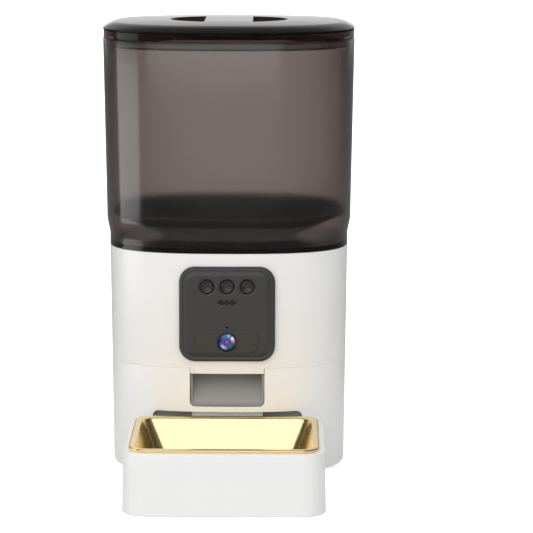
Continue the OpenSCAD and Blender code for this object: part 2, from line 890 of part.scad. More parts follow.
module lens_bezel() {
    color("black") placed()
        difference() {
            front_rod(0, lens_z, bezel_r, panel_face_y - bezel_proud, panel_face_y - bezel_proud + bezel_l);
            front_rod(0, lens_z, glass_r + seat_gap, panel_face_y - through, panel_face_y + through);
        }
}

module lens_glass() {
    dome_r = 22;
    back = panel_face_y - bezel_proud + glass_in + glass_t;
    color("midnightblue") placed()
        intersection() {
            front_rod(0, lens_z, glass_r, back - glass_t - 1, back);
            translate([0, back - glass_t + dome_r, lens_z])
                sphere(r = dome_r, $fn = 240);
        }
}

module lens_barrel() {
    barrel_r = glass_r - 0.4;
    bore_r = barrel_r - 1.6;
    bore_l = 4;
    front = panel_face_y - bezel_proud + glass_in + glass_t;
    color("black") placed()
        difference() {
            front_rod(0, lens_z, barrel_r, front, camera_board_y);
            front_rod(0, lens_z, bore_r, front - eps, front + bore_l);
        }
}

module camera_board() {
    color("darkgreen") placed()
        translate([-board_w / 2, camera_board_y, lens_z - camera_board_h / 2])
            cube([board_w, board_t, camera_board_h]);
}

module infrared_lamps() {
    color("lavender") placed()
        for (side = [-1, 1], x = [led_near_x, led_far_x])
            front_rod(side * x, lens_z, led_r, camera_board_y - led_l, camera_board_y);
}

module button(i) {
    dish_r = 24;
    dish_in = 0.7;
    face_y = panel_face_y - button_proud;
    color("#2f2e2d") placed()
        translate([i * button_pitch, 0, 0])
            difference() {
                union() {
                    front_rod(0, button_z, button_r, face_y, button_back_y);
                    front_rod(0, button_z, button_flange_r, button_back_y - button_flange_t, button_back_y);
                    front_rod(0, button_z, plunger_r, button_back_y - eps, button_back_y + plunger_l);
                }
                translate([0, face_y - dish_r + dish_in, button_z])
                    sphere(r = dish_r);
            }
}

module button_left() {
    button(-1);
}

module button_middle() {
    button(0);
}

module button_right() {
    button(1);
}

module button_board() {
    color("darkgreen") placed()
        translate([-board_w / 2, button_board_y, button_z - board_h / 2])
            cube([board_w, board_t, board_h]);
}

module tact_switches() {
    stem_r = 1.7;
    stem_l = 1.2;
    color("dimgray") placed()
        for (i = [-1 : 1]) {
            translate([i * button_pitch - switch_w / 2, switch_y + stem_l, button_z - switch_w / 2])
                cube([switch_w, switch_l - stem_l, switch_w]);
            front_rod(i * button_pitch, button_z, stem_r, switch_y, switch_y + stem_l + eps);
        }
}

module speaker() {
    magnet_r = 4;
    magnet_l = 2.5;
    color("#222222") placed() {
        front_slab(panel_back_y, panel_back_y + speaker_t)
            translate([0, speaker_z])
                rounded(speaker_w, speaker_h, speaker_h / 2 - eps);
        front_rod(0, speaker_z, magnet_r, panel_back_y + speaker_t - eps,
            panel_back_y + speaker_t + magnet_l);
    }
}

module microphone() {
    color("silver") placed()
        front_rod(0, mic_z, mic_r, panel_back_y, panel_back_y + mic_t);
}

// Deck and drive

module deck() {
    pocket_side = 2;
    pocket_back = 6;
    chute_screw_cap = 0.8;
    pocket_w = panel_w + 2 * (ear_w + pocket_side);
    pocket_y = camera_board_y + pocket_back;
    color("lightgray") placed()
        difference() {
            union() {
                plan_prism(deck_low_z, deck_z, upper_in - fit_gap);
                for (x = [-1, 1], y = [pillar_front_y, pillar_back_y])
                    rod(x * pillar_x, y, pillar_r, plate_top_z, deck_low_z + eps);
            }
            box([-pocket_w / 2, -body_d, 0], [pocket_w / 2, pocket_y, rim_z]);
            rod(0, rotor_back, bush_r + seat_gap, deck_low_z - 1, deck_z + 1);
            translate([0, rotor_back, deck_low_z - 1])
                linear_extrude(height = deck_t + 2)
                    intersection() {
                        difference() {
                            circle(r = outlet_out_r);
                            circle(r = outlet_in_r);
                        }
                        front_wedge(outlet_half, chamber_r);
                    }
            each_post(upper_post_x)
                rod(0, 0, clear_r, deck_low_z - 1, deck_z + 1);
            for (x = [-1, 1], y = [pillar_front_y, pillar_back_y])
                rod(x * pillar_x, y, small_screw_r + seat_gap, plate_top_z - eps,
                    plate_top_z + plate_screw_grip + 1);
            for (x = [-1, 1])
                rod(x * chute_screw_x, (chute_back_y + chute_front_y) / 2,
                    small_screw_r + seat_gap, deck_low_z - 1, deck_z - chute_screw_cap);
        }
}

module deck_screws() {
    color("silver") placed()
        each_post(upper_post_x) {
            rod(0, 0, screw_r, deck_z - screw_l, deck_z);
            rod(0, 0, head_r, deck_z, deck_z + head_h);
        }
}

module bush(z0, z1, flange_z) {
    translate([0, rotor_back, 0])
        difference() {
            union() {
                rod(0, 0, bush_r, z0, z1);
                rod(0, 0, bush_flange_r, flange_z, flange_z + bush_flange_t);
            }
            rod(0, 0, shaft_r + run_gap, z0 - through, z1 + through);
        }
}

module upper_bush() {
    color("darkgoldenrod") placed()
        bush(deck_low_z - bush_flange_t, deck_z, deck_low_z - bush_flange_t);
}

module lower_bush() {
    color("darkgoldenrod") placed()
        bush(plate_low_z, plate_top_z + bush_flange_t, plate_top_z);
}

module motor_plate() {
    edge = 5;
    color("silver") placed()
        difference() {
            box([-pillar_x - edge, pillar_front_y - edge, plate_low_z],
                [pillar_x + edge, pillar_back_y + edge, plate_top_z]);
            rod(0, rotor_back, bush_r + seat_gap, 0, rim_z);
            rod(0, motor_y, boss_r + seat_gap, 0, rim_z);
            for (x = [-1, 1], y = [pillar_front_y, pillar_back_y])
                rod(x * pillar_x, y, small_clear_r, 0, rim_z);
            for (x = [-1, 1])
                rod(x * motor_screw_x, motor_y, small_clear_r, 0, rim_z);
        }
}

module plate_screws() {
    color("silver") placed()
        for (x = [-1, 1], y = [pillar_front_y, pillar_back_y])
            screw(x * pillar_x, y, plate_low_z, small_screw_r, motor_plate_t + plate_screw_grip,
                small_head_r, small_head_h);
}

module motor() {
    cap_r = 5;
    cap_h = 3;
    bore_l = 12;
    color("silver") placed()
        difference() {
            union() {
                rod(0, motor_y, motor_r, plate_low_z - motor_l, plate_low_z);
                rod(0, motor_y, boss_r, plate_low_z - eps, plate_top_z);
                rod(0, motor_y, cap_r, plate_low_z - motor_l - cap_h, plate_low_z - motor_l + eps);
            }
            rod(0, motor_y, motor_shaft_r + run_gap, plate_low_z - bore_l, plate_top_z + 1);
            for (x = [-1, 1])
                rod(x * motor_screw_x, motor_y, small_screw_r + seat_gap,
                    plate_low_z - motor_screw_in - 1, plate_low_z + eps);
        }
}

module motor_screws() {
    color("dimgray") placed()
        for (x = [-1, 1]) {
            rod(x * motor_screw_x, motor_y, small_screw_r, plate_low_z - motor_screw_in, plate_top_z);
            rod(x * motor_screw_x, motor_y, small_head_r, plate_top_z, plate_top_z + small_head_h);
        }
}

module motor_shaft() {
    shaft_in = 11;
    color("silver") placed()
        rod(0, motor_y, motor_shaft_r, plate_low_z - shaft_in, gear_z + gear_t + 1);
}

module pinion() {
    color("ivory") placed()
        translate([0, motor_y, gear_z])
            difference() {
                linear_extrude(height = gear_t)
                    polygon(gear_outline(pinion_teeth, 270 + 180 / pinion_teeth));
                rod(0, 0, motor_shaft_r + seat_gap, -1, gear_t + 1);
            }
}

module drive_gear() {
    hub_low = gear_z - 1.1;
    hub_high = deck_low_z - bush_flange_t - fit_gap;
    color("ivory") placed()
        translate([0, rotor_back, 0])
            difference() {
                union() {
                    translate([0, 0, gear_z])
                        linear_extrude(height = gear_t)
                            polygon(gear_outline(gear_teeth, 90));
                    rod(0, 0, gear_hub_r, hub_low, hub_high);
                }
                rod(0, 0, shaft_r + seat_gap, 0, rim_z);
            }
}

module drive_shaft() {
    color("silver") placed()
        translate([0, rotor_back, 0]) {
            rod(0, 0, shaft_r, plate_low_z + 0.5, dog_z + eps);
            translate([0, 0, dog_z])
                cylinder(r = dog_r, h = dog_h, $fn = 6);
        }
}

// Chute

module chute() {
    inner = [
        [chute_back_y, deck_low_z + 1],
        [chute_back_y, chute_step_z],
        [chute_end_y - 1, chute_floor_z],
        [chute_end_y - 1, chute_roof_z - chute_wall],
        [chute_front_y, chute_knee_z],
        [chute_front_y, deck_low_z + 1]
    ];
    outer = [
        [chute_back_y + chute_wall, deck_low_z],
        [chute_back_y + chute_wall, chute_step_z - chute_wall],
        [chute_end_y, chute_floor_z - chute_wall],
        [chute_end_y, chute_roof_z],
        [chute_front_y - chute_wall, chute_knee_z + chute_wall],
        [chute_front_y - chute_wall, deck_low_z]
    ];
    mid_y = (chute_back_y + chute_front_y) / 2;
    color("silver") placed()
        difference() {
            union() {
                translate([-chute_out_w / 2, 0, 0])
                    rotate([90, 0, 90])
                        linear_extrude(height = chute_out_w)
                            polygon(outer);
                for (x = [-1, 1])
                    translate([x * chute_screw_x, mid_y, deck_low_z - chute_flange_t / 2])
                        cube([chute_flange_w + eps, 4 * small_head_r, chute_flange_t], center = true);
            }
            translate([-chute_out_w / 2 + chute_wall, 0, 0])
                rotate([90, 0, 90])
                    linear_extrude(height = chute_out_w - 2 * chute_wall)
                        polygon(inner);
            for (x = [-1, 1])
                rod(x * chute_screw_x, mid_y, small_clear_r, 0, rim_z);
        }
}

module chute_screws() {
    color("silver") placed()
        for (x = [-1, 1])
            screw(x * chute_screw_x, (chute_back_y + chute_front_y) / 2,
                deck_low_z - chute_flange_t, small_screw_r, chute_flange_t + deck_t - 1,
                small_head_r, small_head_h);
}

// Tank and doser

module tank() {
    color("#5d5452") placed()
        difference() {
            union() {
                plan_prism(rim_z, neck_z, 0);
                plan_block(neck_z, shoulder_z, 0, shoulder_out);
                plan_block(shoulder_z, tank_rim_z, shoulder_out, tank_out);
            }
            plan_prism(tank_floor_z, neck_z, -tank_wall);
            plan_block(neck_z, shoulder_z, -tank_wall, shoulder_out - tank_wall);
            plan_block(shoulder_z, tank_rim_z + eps, shoulder_out - tank_wall, tank_out - tank_wall);
            rod(0, rotor_back, chamber_r + chamber_wall + seat_gap, rim_z - 1, tank_floor_z + 1);
            for (x = [-1, 1], y = [-1, 1])
                rod(x * lug_x, rotor_back + y * lug_y, small_screw_r + seat_gap,
                    rim_z - 1, tank_floor_z - lug_screw_cap);
        }
}

// Loft from the rotor chamber's round mouth up to the plan outline
module funnel_form(low_r, out, top_z) {
    hull() {
        translate([0, rotor_back, tank_floor_z])
            cylinder(r = low_r, h = eps, $fn = 48);
        plan_prism(top_z - funnel_edge, top_z, out);
    }
}

module funnel() {
    top_z = tank_floor_z + funnel_h;
    color("#3a3433") placed()
        difference() {
            funnel_form(chamber_r + funnel_t, -tank_wall - seat_gap, top_z);
            translate([0, 0, eps])
                funnel_form(chamber_r, -tank_wall - seat_gap - funnel_t, top_z);
            rod(0, rotor_back, chamber_r, tank_floor_z - 1, tank_floor_z + 1);
        }
}

module rotor_housing() {
    ledge_in = 3;
    ledge_half = outlet_half + 6;
    color("#3a3433") placed()
        translate([0, rotor_back, 0])
            difference() {
                union() {
                    difference() {
                        rod(0, 0, chamber_r + chamber_wall, housing_z, housing_top_z);
                        rod(0, 0, chamber_r, chamber_z, housing_top_z + 1);
                    }
                    for (x = [-1, 1], y = [-1, 1])
                        intersection() {
                            difference() {
                                rod(x * lug_x, y * lug_y, lug_r, rim_z - lug_t, rim_z);
                                rod(0, 0, chamber_r + chamber_wall / 2, 0, tank_rim_z);
                            }
                            rod(0, 0, lug_x + lug_y, rim_z - lug_t, rim_z);
                        }
                    translate([0, 0, baffle_z - ledge_t])
                        linear_extrude(height = ledge_t)
                            intersection() {
                                difference() {
                                    circle(r = chamber_r + chamber_wall / 2);
                                    circle(r = chamber_r - ledge_in);
                                }
                                front_wedge(ledge_half, chamber_r * 2);
                            }
                }
                rod(0, 0, journal_r + run_gap, housing_z - 1, chamber_z + 1);
                translate([0, 0, housing_z - 1])
                    linear_extrude(height = housing_floor_t + 2)
                        intersection() {
                            difference() {
                                circle(r = outlet_out_r);
                                circle(r = outlet_in_r);
                            }
                            front_wedge(outlet_half, chamber_r);
                        }
                for (x = [-1, 1], y = [-1, 1])
                    rod(x * lug_x, y * lug_y, small_clear_r, 0, tank_rim_z);
            }
}

module housing_screws() {
    color("silver") placed()
        for (x = [-1, 1], y = [-1, 1])
            screw(x * lug_x, rotor_back + y * lug_y, rim_z - lug_t, small_screw_r,
                lug_t + tank_floor_t - lug_screw_cap - 0.2, small_head_r, small_head_h);
}

module outlet_baffle() {
    baffle_lap = 6;
    color("#2b2726") placed()
        translate([0, rotor_back, baffle_z])
            linear_extrude(height = baffle_t)
                intersection() {
                    difference() {
                        circle(r = chamber_r - seat_gap);
                        circle(r = hub_r + baffle_gap);
                    }
                    front_wedge(outlet_half + baffle_lap, chamber_r * 2);
                }
}

module rotor() {
    color("gray") placed()
        translate([0, rotor_back, 0])
            difference() {
                union() {
                    rod(0, 0, hub_r, rotor_z, hub_top_z);
                    rod(0, 0, journal_r, housing_z, rotor_z + eps);
                    for (i = [0 : paddle_count - 1])
                        rotate([0, 0, 360 * i / paddle_count])
                            box([hub_r / 2, -paddle_t / 2, rotor_z],
                                [tip_in_r + tip_l / 2, paddle_t / 2, rotor_top_z]);
                }
                translate([0, 0, housing_z - eps])
                    cylinder(r = socket_r, h = socket_top_z - housing_z, $fn = 6);
            }
}

module paddle_tips() {
    cover = 1;
    color("darkorange") placed()
        translate([0, rotor_back, 0])
            for (i = [0 : paddle_count - 1])
                rotate([0, 0, 360 * i / paddle_count])
                    difference() {
                        box([tip_in_r, -paddle_t / 2 - cover, rotor_z],
                            [paddle_r - 0.2, paddle_t / 2 + cover, rotor_top_z]);
                        box([0, -paddle_t / 2, 0], [tip_in_r + tip_l / 2, paddle_t / 2, tank_rim_z]);
                    }
}

module agitator() {
    arm_w = 6;
    arm_t = 3;
    arm_in = 8;
    arm_r = chamber_r - arm_in;
    finger_h = 14;
    color("gray") placed()
        translate([0, rotor_back, hub_top_z]) {
            cylinder(r = hub_r, h = arm_t);
            translate([-arm_r, -arm_w / 2, 0])
                cube([2 * arm_r, arm_w, arm_t]);
            for (x = [-1, 1])
                translate([x * (arm_r - arm_w / 2), 0, 0])
                    cylinder(r = arm_w / 2, h = finger_h);
        }
}

// Lid

// The two finger pockets seen from above, grown by a wall
module grip(out) {
    difference() {
        polygon(ellipse(grip_w + 2 * out, grip_d + 2 * out));
        square([grip_bar_w - 2 * out, 2 * grip_d], center = true);
    }
}

lid_plate_z = tank_rim_z + lid_band_h;
lid_edge_z = lid_plate_z + lid_edge_h;
lid_top_z = lid_edge_z + lid_roll_h + lid_crown_h;
pocket_up = 0.6;

// Height of the lid's top at a distance in from its edge
function lid_top(d) =
    lid_top_z - lid_crown_h * pow(1 - d / lid_crown_w, 2)
    - lid_roll_h * pow(max(0, 1 - d / lid_roll_w), 2);

// Block under the crowned top, from a height up, at distances in from the edge and a drop below the top
module lid_dome(low, insets, drop) {
    plan_loft(concat([[low, tank_out - insets[0]]], [for (d = insets) [lid_top(d) - drop, tank_out - d]]));
}

module lid() {
    skirt_out = tank_out - tank_wall - fit_gap - seal_t / 2;
    skirt_t = lid_wall + 1;
    hollow_z = tank_rim_z + lid_wall;
    pocket_low = tank_rim_z + pocket_up;
    roll_insets = [for (i = [0 : 4]) lid_roll_w * pow(i / 4, 1.5)];
    top_insets = concat(roll_insets, [(lid_roll_w + lid_crown_w) / 2, lid_crown_w]);
    color("#1c1a1a") placed()
        difference() {
            union() {
                difference() {
                    union() {
                        plan_prism(tank_rim_z, lid_plate_z, tank_out - lid_band_in);
                        lid_dome(lid_plate_z - eps, top_insets, 0);
                        plan_prism(tank_rim_z - lid_skirt_h, tank_rim_z, skirt_out);
                    }
                    plan_prism(tank_rim_z - lid_skirt_h - eps, hollow_z + eps, skirt_out - skirt_t);
                    lid_dome(hollow_z, [lid_band_in + lid_wall, lid_roll_w, lid_crown_w], lid_top_t);
                }
                translate([0, 0, pocket_low - lid_wall])
                    linear_extrude(height = lid_top_z - lid_top_t / 2 - pocket_low + lid_wall)
                        grip(lid_wall);
            }
            translate([0, 0, pocket_low])
                linear_extrude(height = lid_top_z)
                    grip(0);
        }
}

module lid_seal() {
    skirt_out = tank_out - tank_wall - fit_gap;
    z = tank_rim_z - lid_skirt_h / 2;
    color("lightgray") placed()
        difference() {
            plan_prism(z - seal_t / 2, z + seal_t / 2, skirt_out);
            plan_prism(z - seal_t, z + seal_t, skirt_out - seal_t / 2);
        }
}

// Tray and bowl

// Tray outline block that widens towards the floor, inset by a wall
module tray_block(z0, z1, inset) {
    r = tray_corner - inset;
    translate([0, tray_mid_y, 0])
        hull()
            for (x = [-1, 1], y = [-1, 1])
                translate([x * (tray_w / 2 - tray_corner), y * (tray_l / 2 - tray_corner), z0])
                    cylinder(r1 = r + tray_lean * (tray_h - z0) / tray_h,
                        r2 = r + tray_lean * (tray_h - z1) / tray_h, h = z1 - z0, $fn = 32);
}

// Upright block with the tray's plan, inset by a width
module tray_prism(z0, z1, inset) {
    translate([0, tray_mid_y, z0])
        linear_extrude(height = z1 - z0)
            rounded(tray_w - 2 * inset, tray_l - 2 * inset, tray_corner - inset);
}

pocket_in = tray_rim + bowl_flange - bowl_t - fit_gap;
pocket_z = tray_h - bowl_depth - bowl_t - 1;
tongue_top_z = slot_top_z - 0.5;
tongue_low_z = slot_top_z - slot_h + 1.5;

module bowl_tray() {
    color("white") placed() {
        difference() {
            intersection() {
                tray_block(0, tray_h, 0);
                box([-tray_w, -2 * tray_l - body_d, 0], [tray_w, tray_back_y, tray_h]);
            }
            difference() {
                tray_block(-eps, tray_h - tray_wall, tray_wall);
                tray_prism(pocket_z - tray_wall, tray_h, pocket_in - tray_wall / 2);
            }
            tray_prism(pocket_z, tray_h + 1, pocket_in);
        }
        box([-tongue_w / 2, tray_back_y - tray_wall, tongue_low_z],
            [tongue_w / 2, tray_back_y + tongue_l, tray_h - bowl_t]);
        box([-tongue_w / 2, tray_back_y + wall + 4, tongue_low_z],
            [tongue_w / 2, tray_back_y + tongue_l, tongue_top_z]);
    }
}

// Upright block with the outline of the bowl's rim, which reaches back over the tray to the body
module rim_prism(z0, z1, inset) {
    rim_gap = 1;
    rim_in = tray_rim + fit_gap / 2;
    front_y = tray_front_y + rim_in;
    back_y = tray_back_y - rim_gap;
    translate([0, (front_y + back_y) / 2, z0])
        linear_extrude(height = z1 - z0)
            rounded(tray_w - 2 * (rim_in + inset), back_y - front_y - 2 * inset,
                    tray_corner - rim_in - inset);
}

module bowl() {
    top_z = tray_h + bowl_proud;
    floor_z = tray_h - bowl_depth;
    mouth_in = tray_rim + bowl_flange;
    corner = tray_corner - mouth_in;
    color("gold") placed()
        difference() {
            union() {
                difference() {
                    rim_prism(tray_h, top_z, 0);
                    rim_prism(tray_h - eps, top_z - bowl_t, bowl_t);
                }
                bowl_form(top_z - bowl_t / 2, floor_z - bowl_t, mouth_in - bowl_t, corner + bowl_t, 0);
            }
            bowl_form(top_z + eps, floor_z, mouth_in, corner, bowl_t);
        }
}

// Sloped block from the bowl's mouth down to its floor
module bowl_form(top_z, low_z, inset, corner, floor_in) {
    half_w = tray_w / 2 - inset - corner;
    half_l = tray_l / 2 - inset - corner;
    shift = bowl_slope + floor_in / 2;
    translate([0, tray_mid_y, 0])
        hull()
            for (x = [-1, 1], y = [-1, 1]) {
                translate([x * half_w, y * half_l, top_z - eps])
                    cylinder(r = corner, h = eps, $fn = 32);
                translate([x * (half_w - shift), y * (half_l - shift), low_z])
                    cylinder(r = corner, h = eps, $fn = 32);
            }
}

base_plate();
feet();
base_screws();
battery_box();
battery_contacts();
battery_cover();
main_board();
wireless_module();
lower_shell();
power_inlet();
upper_shell();
case_screws();
front_panel();
panel_screws();
infrared_window();
lens_bezel();
lens_glass();
lens_barrel();
camera_board();
infrared_lamps();
button_left();
button_middle();
button_right();
button_board();
tact_switches();
speaker();
microphone();
deck();
deck_screws();
upper_bush();
lower_bush();
motor_plate();
plate_screws();
motor();
motor_screws();
motor_shaft();
pinion();
drive_gear();
drive_shaft();
chute();
chute_screws();
tank();
funnel();
rotor_housing();
housing_screws();
outlet_baffle();
rotor();
paddle_tips();
agitator();
lid();
lid_seal();
bowl_tray();
bowl();
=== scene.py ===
import math

import bmesh
import bpy
from mathutils import Matrix, Vector


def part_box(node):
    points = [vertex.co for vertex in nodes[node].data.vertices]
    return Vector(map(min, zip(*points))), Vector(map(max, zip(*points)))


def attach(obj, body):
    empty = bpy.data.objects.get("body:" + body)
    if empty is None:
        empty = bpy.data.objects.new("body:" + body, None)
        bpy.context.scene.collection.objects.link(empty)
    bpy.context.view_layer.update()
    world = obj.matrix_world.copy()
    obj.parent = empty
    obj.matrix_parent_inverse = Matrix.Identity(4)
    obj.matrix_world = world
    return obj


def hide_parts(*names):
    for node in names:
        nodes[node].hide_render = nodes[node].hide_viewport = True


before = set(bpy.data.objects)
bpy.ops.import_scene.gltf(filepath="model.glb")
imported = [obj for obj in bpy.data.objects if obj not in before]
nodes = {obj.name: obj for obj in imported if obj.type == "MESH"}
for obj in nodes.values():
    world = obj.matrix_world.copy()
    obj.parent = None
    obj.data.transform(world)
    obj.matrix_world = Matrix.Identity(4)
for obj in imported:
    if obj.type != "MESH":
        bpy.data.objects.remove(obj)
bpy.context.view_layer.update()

# Stage: a pale floor that runs out into a white studio, a very large soft lamp in front, a weaker one on the
# right, and a strip on the left that shows in the tank. A long lens looks slightly down from the front.
scene = bpy.context.scene
scene.view_settings.view_transform = "Standard"
frame_px = 533
axis_px = 229.8
focal_px = 2600
sensor_mm = 36
camera_distance = 2.0956
camera_pitch = math.radians(9.38)
camera_turn = math.radians(1.25)
upper_low, upper_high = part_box("upper_shell")
middle_y = (upper_low.y + upper_high.y) / 2
camera_target = Vector((0.0006, middle_y, 0.157))
sky_light = 0.25
zenith_light = 1.2
zenith_light_span = (0.5, 0.95)
bounce_gain = 2.3
front_share, front_span = 0.3, (-0.35, 0.25)
side_share, side_span = 0.15, (0.45, 0.9)
upper_share, upper_span = 0.5, (0.0, 0.22)
zenith_share, zenith_span = 0.3, (0.4, 0.9)
floor_half = 6
floor_grey = (0.84, 0.84, 0.84)
far_gloss_grey = (0.12, 0.12, 0.12)
near_glow = 0.68
glow_span = (0.25, 0.6)
gloss_share = 0.12


def put(tree, kind, inputs=None, **settings):
    """Adds a node to a tree. Each input takes a value or another node's output."""
    node = tree.nodes.new(kind)
    for key, value in settings.items():
        setattr(node, key, value)
    for key, value in (inputs or {}).items():
        if isinstance(value, bpy.types.NodeSocket):
            tree.links.new(value, node.inputs[key])
        else:
            node.inputs[key].default_value = value
    return node


def calc(tree, operation, *values):
    """Result of a sum on numbers or outputs of other nodes."""
    return put(tree, "ShaderNodeMath", dict(enumerate(values)), operation=operation).outputs[0]


def times(tree, first, *others):
    """Product of numbers or outputs of other nodes."""
    for value in others:
        first = calc(tree, "MULTIPLY", first, value)
    return first


def fade(tree, value, span, first, last):
    """Value that runs softly from first to last over a span."""
    return put(tree, "ShaderNodeMapRange", {
        "Value": value, "From Min": span[0], "From Max": span[1], "To Min": first, "To Max": last,
    }, interpolation_type="SMOOTHSTEP").outputs["Result"]


def two_tone(tree, fac, first, last):
    """Colour that runs from a first to a last one."""
    ramp = put(tree, "ShaderNodeValToRGB", {"Fac": fac})
    ramp.color_ramp.elements[0].color = (*first, 1)
    ramp.color_ramp.elements[1].color = (*last, 1)
    return ramp.outputs["Color"]


def ray_kinds(tree):
    """The kinds of ray, and 1 for those from the camera or through clear plastic."""
    path = put(tree, "ShaderNodeLightPath").outputs
    return path, calc(tree, "MAXIMUM", path["Is Camera Ray"], path["Is Transmission Ray"])


def object_place(tree):
    """Place on the piece, in metres."""
    return put(tree, "ShaderNodeTexCoord").outputs["Object"]


def new_material(name, **sockets):
    """New material with its tree and shader. The sockets get constants, and underscores stand for spaces."""
    material = bpy.data.materials.new(name)
    material.use_nodes = True
    shader = material.node_tree.nodes["Principled BSDF"]
    for key, value in sockets.items():
        shader.inputs[key.replace("_", " ")].default_value = value
    return material, material.node_tree, shader


def new_object(name, data):
    """Links a mesh, a lamp or a camera to the scene under a name."""
    thing = bpy.data.objects.new(name, data)
    scene.collection.objects.link(thing)
    return thing


camera_data = bpy.data.cameras.new("camera")
camera_data.sensor_width = sensor_mm
camera_data.lens = sensor_mm * focal_px / frame_px
camera_data.shift_x = 0.5 - axis_px / frame_px
camera = new_object("camera", camera_data)
away = Vector((
    math.sin(camera_turn) * math.cos(camera_pitch),
    -math.cos(camera_turn) * math.cos(camera_pitch),
    math.sin(camera_pitch),
))
camera.location = camera_target + away * camera_distance
camera.rotation_euler = (-away).to_track_quat("-Z", "Y").to_euler()
scene.camera = camera

# Gloss mirrors a studio that is dim in front, at the sides and overhead. The light on the pieces comes from a
# plain sky with a brighter zenith, and more of it where it arrives by way of a shiny piece.
studio = bpy.data.worlds.new("studio")
studio.use_nodes = True
scene.world = studio
studio_tree = studio.node_tree
sky = studio_tree.nodes["Background"]
ray = put(studio_tree, "ShaderNodeTexCoord").outputs["Generated"]
ray_parts = put(studio_tree, "ShaderNodeSeparateXYZ", {"Vector": ray}).outputs
mirrored = times(
    studio_tree,
    fade(studio_tree, ray_parts["Y"], front_span, front_share, 1.0),
    fade(studio_tree, calc(studio_tree, "ABSOLUTE", ray_parts["X"]), side_span, 1.0, side_share),
    fade(studio_tree, ray_parts["Z"], upper_span, 1.0, upper_share),
    fade(studio_tree, ray_parts["Z"], zenith_span, 1.0, zenith_share))
path, clear = ray_kinds(studio_tree)
in_gloss = times(studio_tree, path["Is Glossy Ray"], calc(studio_tree, "LESS_THAN", path["Diffuse Depth"], 0.5))
bounced = calc(studio_tree, "SUBTRACT", path["Is Glossy Ray"], in_gloss)
shown = calc(studio_tree, "MAXIMUM", clear, times(studio_tree, mirrored, in_gloss))
carried = calc(studio_tree, "SUBTRACT", 1.0, calc(studio_tree, "MAXIMUM", clear, in_gloss))
lighting = fade(studio_tree, ray_parts["Z"], zenith_light_span, sky_light, sky_light + zenith_light)
gain = fade(studio_tree, bounced, (0.0, 1.0), 1.0, bounce_gain)
strength = calc(studio_tree, "ADD", shown, times(studio_tree, carried, lighting, gain))
studio_tree.links.new(strength, sky.inputs["Strength"])
sky.inputs["Color"].default_value = (1, 1, 1, 1)

floor_mesh = bpy.data.meshes.new("floor")
floor_corners = [(x * floor_half, y * floor_half, 0) for x, y in ((-1, -1), (1, -1), (1, 1), (-1, 1))]
floor_mesh.from_pydata(floor_corners, [], [(0, 1, 2, 3)])
floor = new_object("floor", floor_mesh)
floor_finish, floor_tree, floor_shader = new_material(
    "pale_floor", Roughness=0.9, Specular_IOR_Level=0.0, Emission_Color=(1, 1, 1, 1))
floor_reach = put(
    floor_tree, "ShaderNodeVectorMath", {0: object_place(floor_tree)}, operation="LENGTH").outputs["Value"]
floor_path, floor_clear = ray_kinds(floor_tree)
floor_gloss = floor_path["Is Glossy Ray"]
floor_seen = calc(floor_tree, "MAXIMUM", floor_clear, times(floor_tree, floor_gloss, gloss_share))
floor_glow = times(floor_tree, floor_seen, fade(floor_tree, floor_reach, glow_span, near_glow, 1.0))
floor_tree.links.new(floor_glow, floor_shader.inputs["Emission Strength"])
far_gloss = times(floor_tree, floor_gloss, fade(floor_tree, floor_reach, glow_span, 0.0, 1.0))
floor_tone = two_tone(floor_tree, far_gloss, floor_grey, far_gloss_grey)
floor_tree.links.new(floor_tone, floor_shader.inputs["Base Color"])
floor_mesh.materials.append(floor_finish)


def soft_lamp(name, place, size, power):
    """Large flat lamp that faces the object."""
    lamp = bpy.data.lights.new(name, "AREA")
    lamp.shape = "RECTANGLE"
    lamp.size, lamp.size_y = size
    lamp.energy = power
    stand = new_object(name, lamp)
    stand.location = place
    stand.rotation_euler = (camera_target - Vector(place)).to_track_quat("-Z", "Y").to_euler()
    return stand


soft_lamp("key_lamp", (-0.5, -2.1, 1.15), (3.2, 1.8), 27.8)
soft_lamp("fill_lamp", (1.6, -1.5, 0.9), (0.9, 1.2), 0.9)
strip_lamp = soft_lamp("strip_lamp", (-1.0, -0.14, 0.18), (0.77, 0.34), 2.7)
strip_lamp.visible_diffuse = False

# Rubber feet: four turned pads of grey rubber, pressed into round seats under the base plate. Their lower
# edge is rounded and their sole has ring grooves, as moulded feet have.
foot_low, foot_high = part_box("feet")
foot_r = 0.008
foot_h = foot_high.z
sole_r = 0.0022
groove_rs = (0.0030, 0.0048)
groove_w = 0.0008
foot_groove = 0.0006
foot_edge = 0.0009
edge_steps = 4
turn_steps = 48
weld = 1e-6
cloud_scale = 22
grain_spread, grain_swing, grain_strength = 0.2, 0.12, 0.6


def mesh_from(made, name):
    """Plain mesh from a built one, which is freed."""
    mesh = bpy.data.meshes.new(name)
    made.to_mesh(mesh)
    made.free()
    return mesh


def loft(rings, ends=True):
    """Closed mesh through rings of points that have the same count, with flat ends or joined round to its start."""
    made = bmesh.new()
    loops = [[made.verts.new(point) for point in ring] for ring in rings]
    count = len(loops[0])
    for lower, upper in zip(loops, loops[1:] if ends else loops[1:] + loops[:1]):
        for i in range(count):
            j = (i + 1) % count
            made.faces.new((lower[i], lower[j], upper[j], upper[i]))
    if ends:
        made.faces.new(loops[0])
        made.faces.new(loops[-1])
    bmesh.ops.remove_doubles(made, verts=made.verts, dist=weld)
    bmesh.ops.recalc_face_normals(made, faces=made.faces)
    return mesh_from(made, "loft")


def turned(outline, centre, along):
    """Turned solid: (radius, distance) points run round an axis through the centre."""
    centre = Vector(centre)
    along = Vector(along)
    side = along.orthogonal().normalized()
    other = along.cross(side)
    angles = [2 * math.pi * i / turn_steps for i in range(turn_steps)]
    return loft([
        [centre + along * d + (side * math.cos(a) + other * math.sin(a)) * r for a in angles] for r, d in outline
    ])


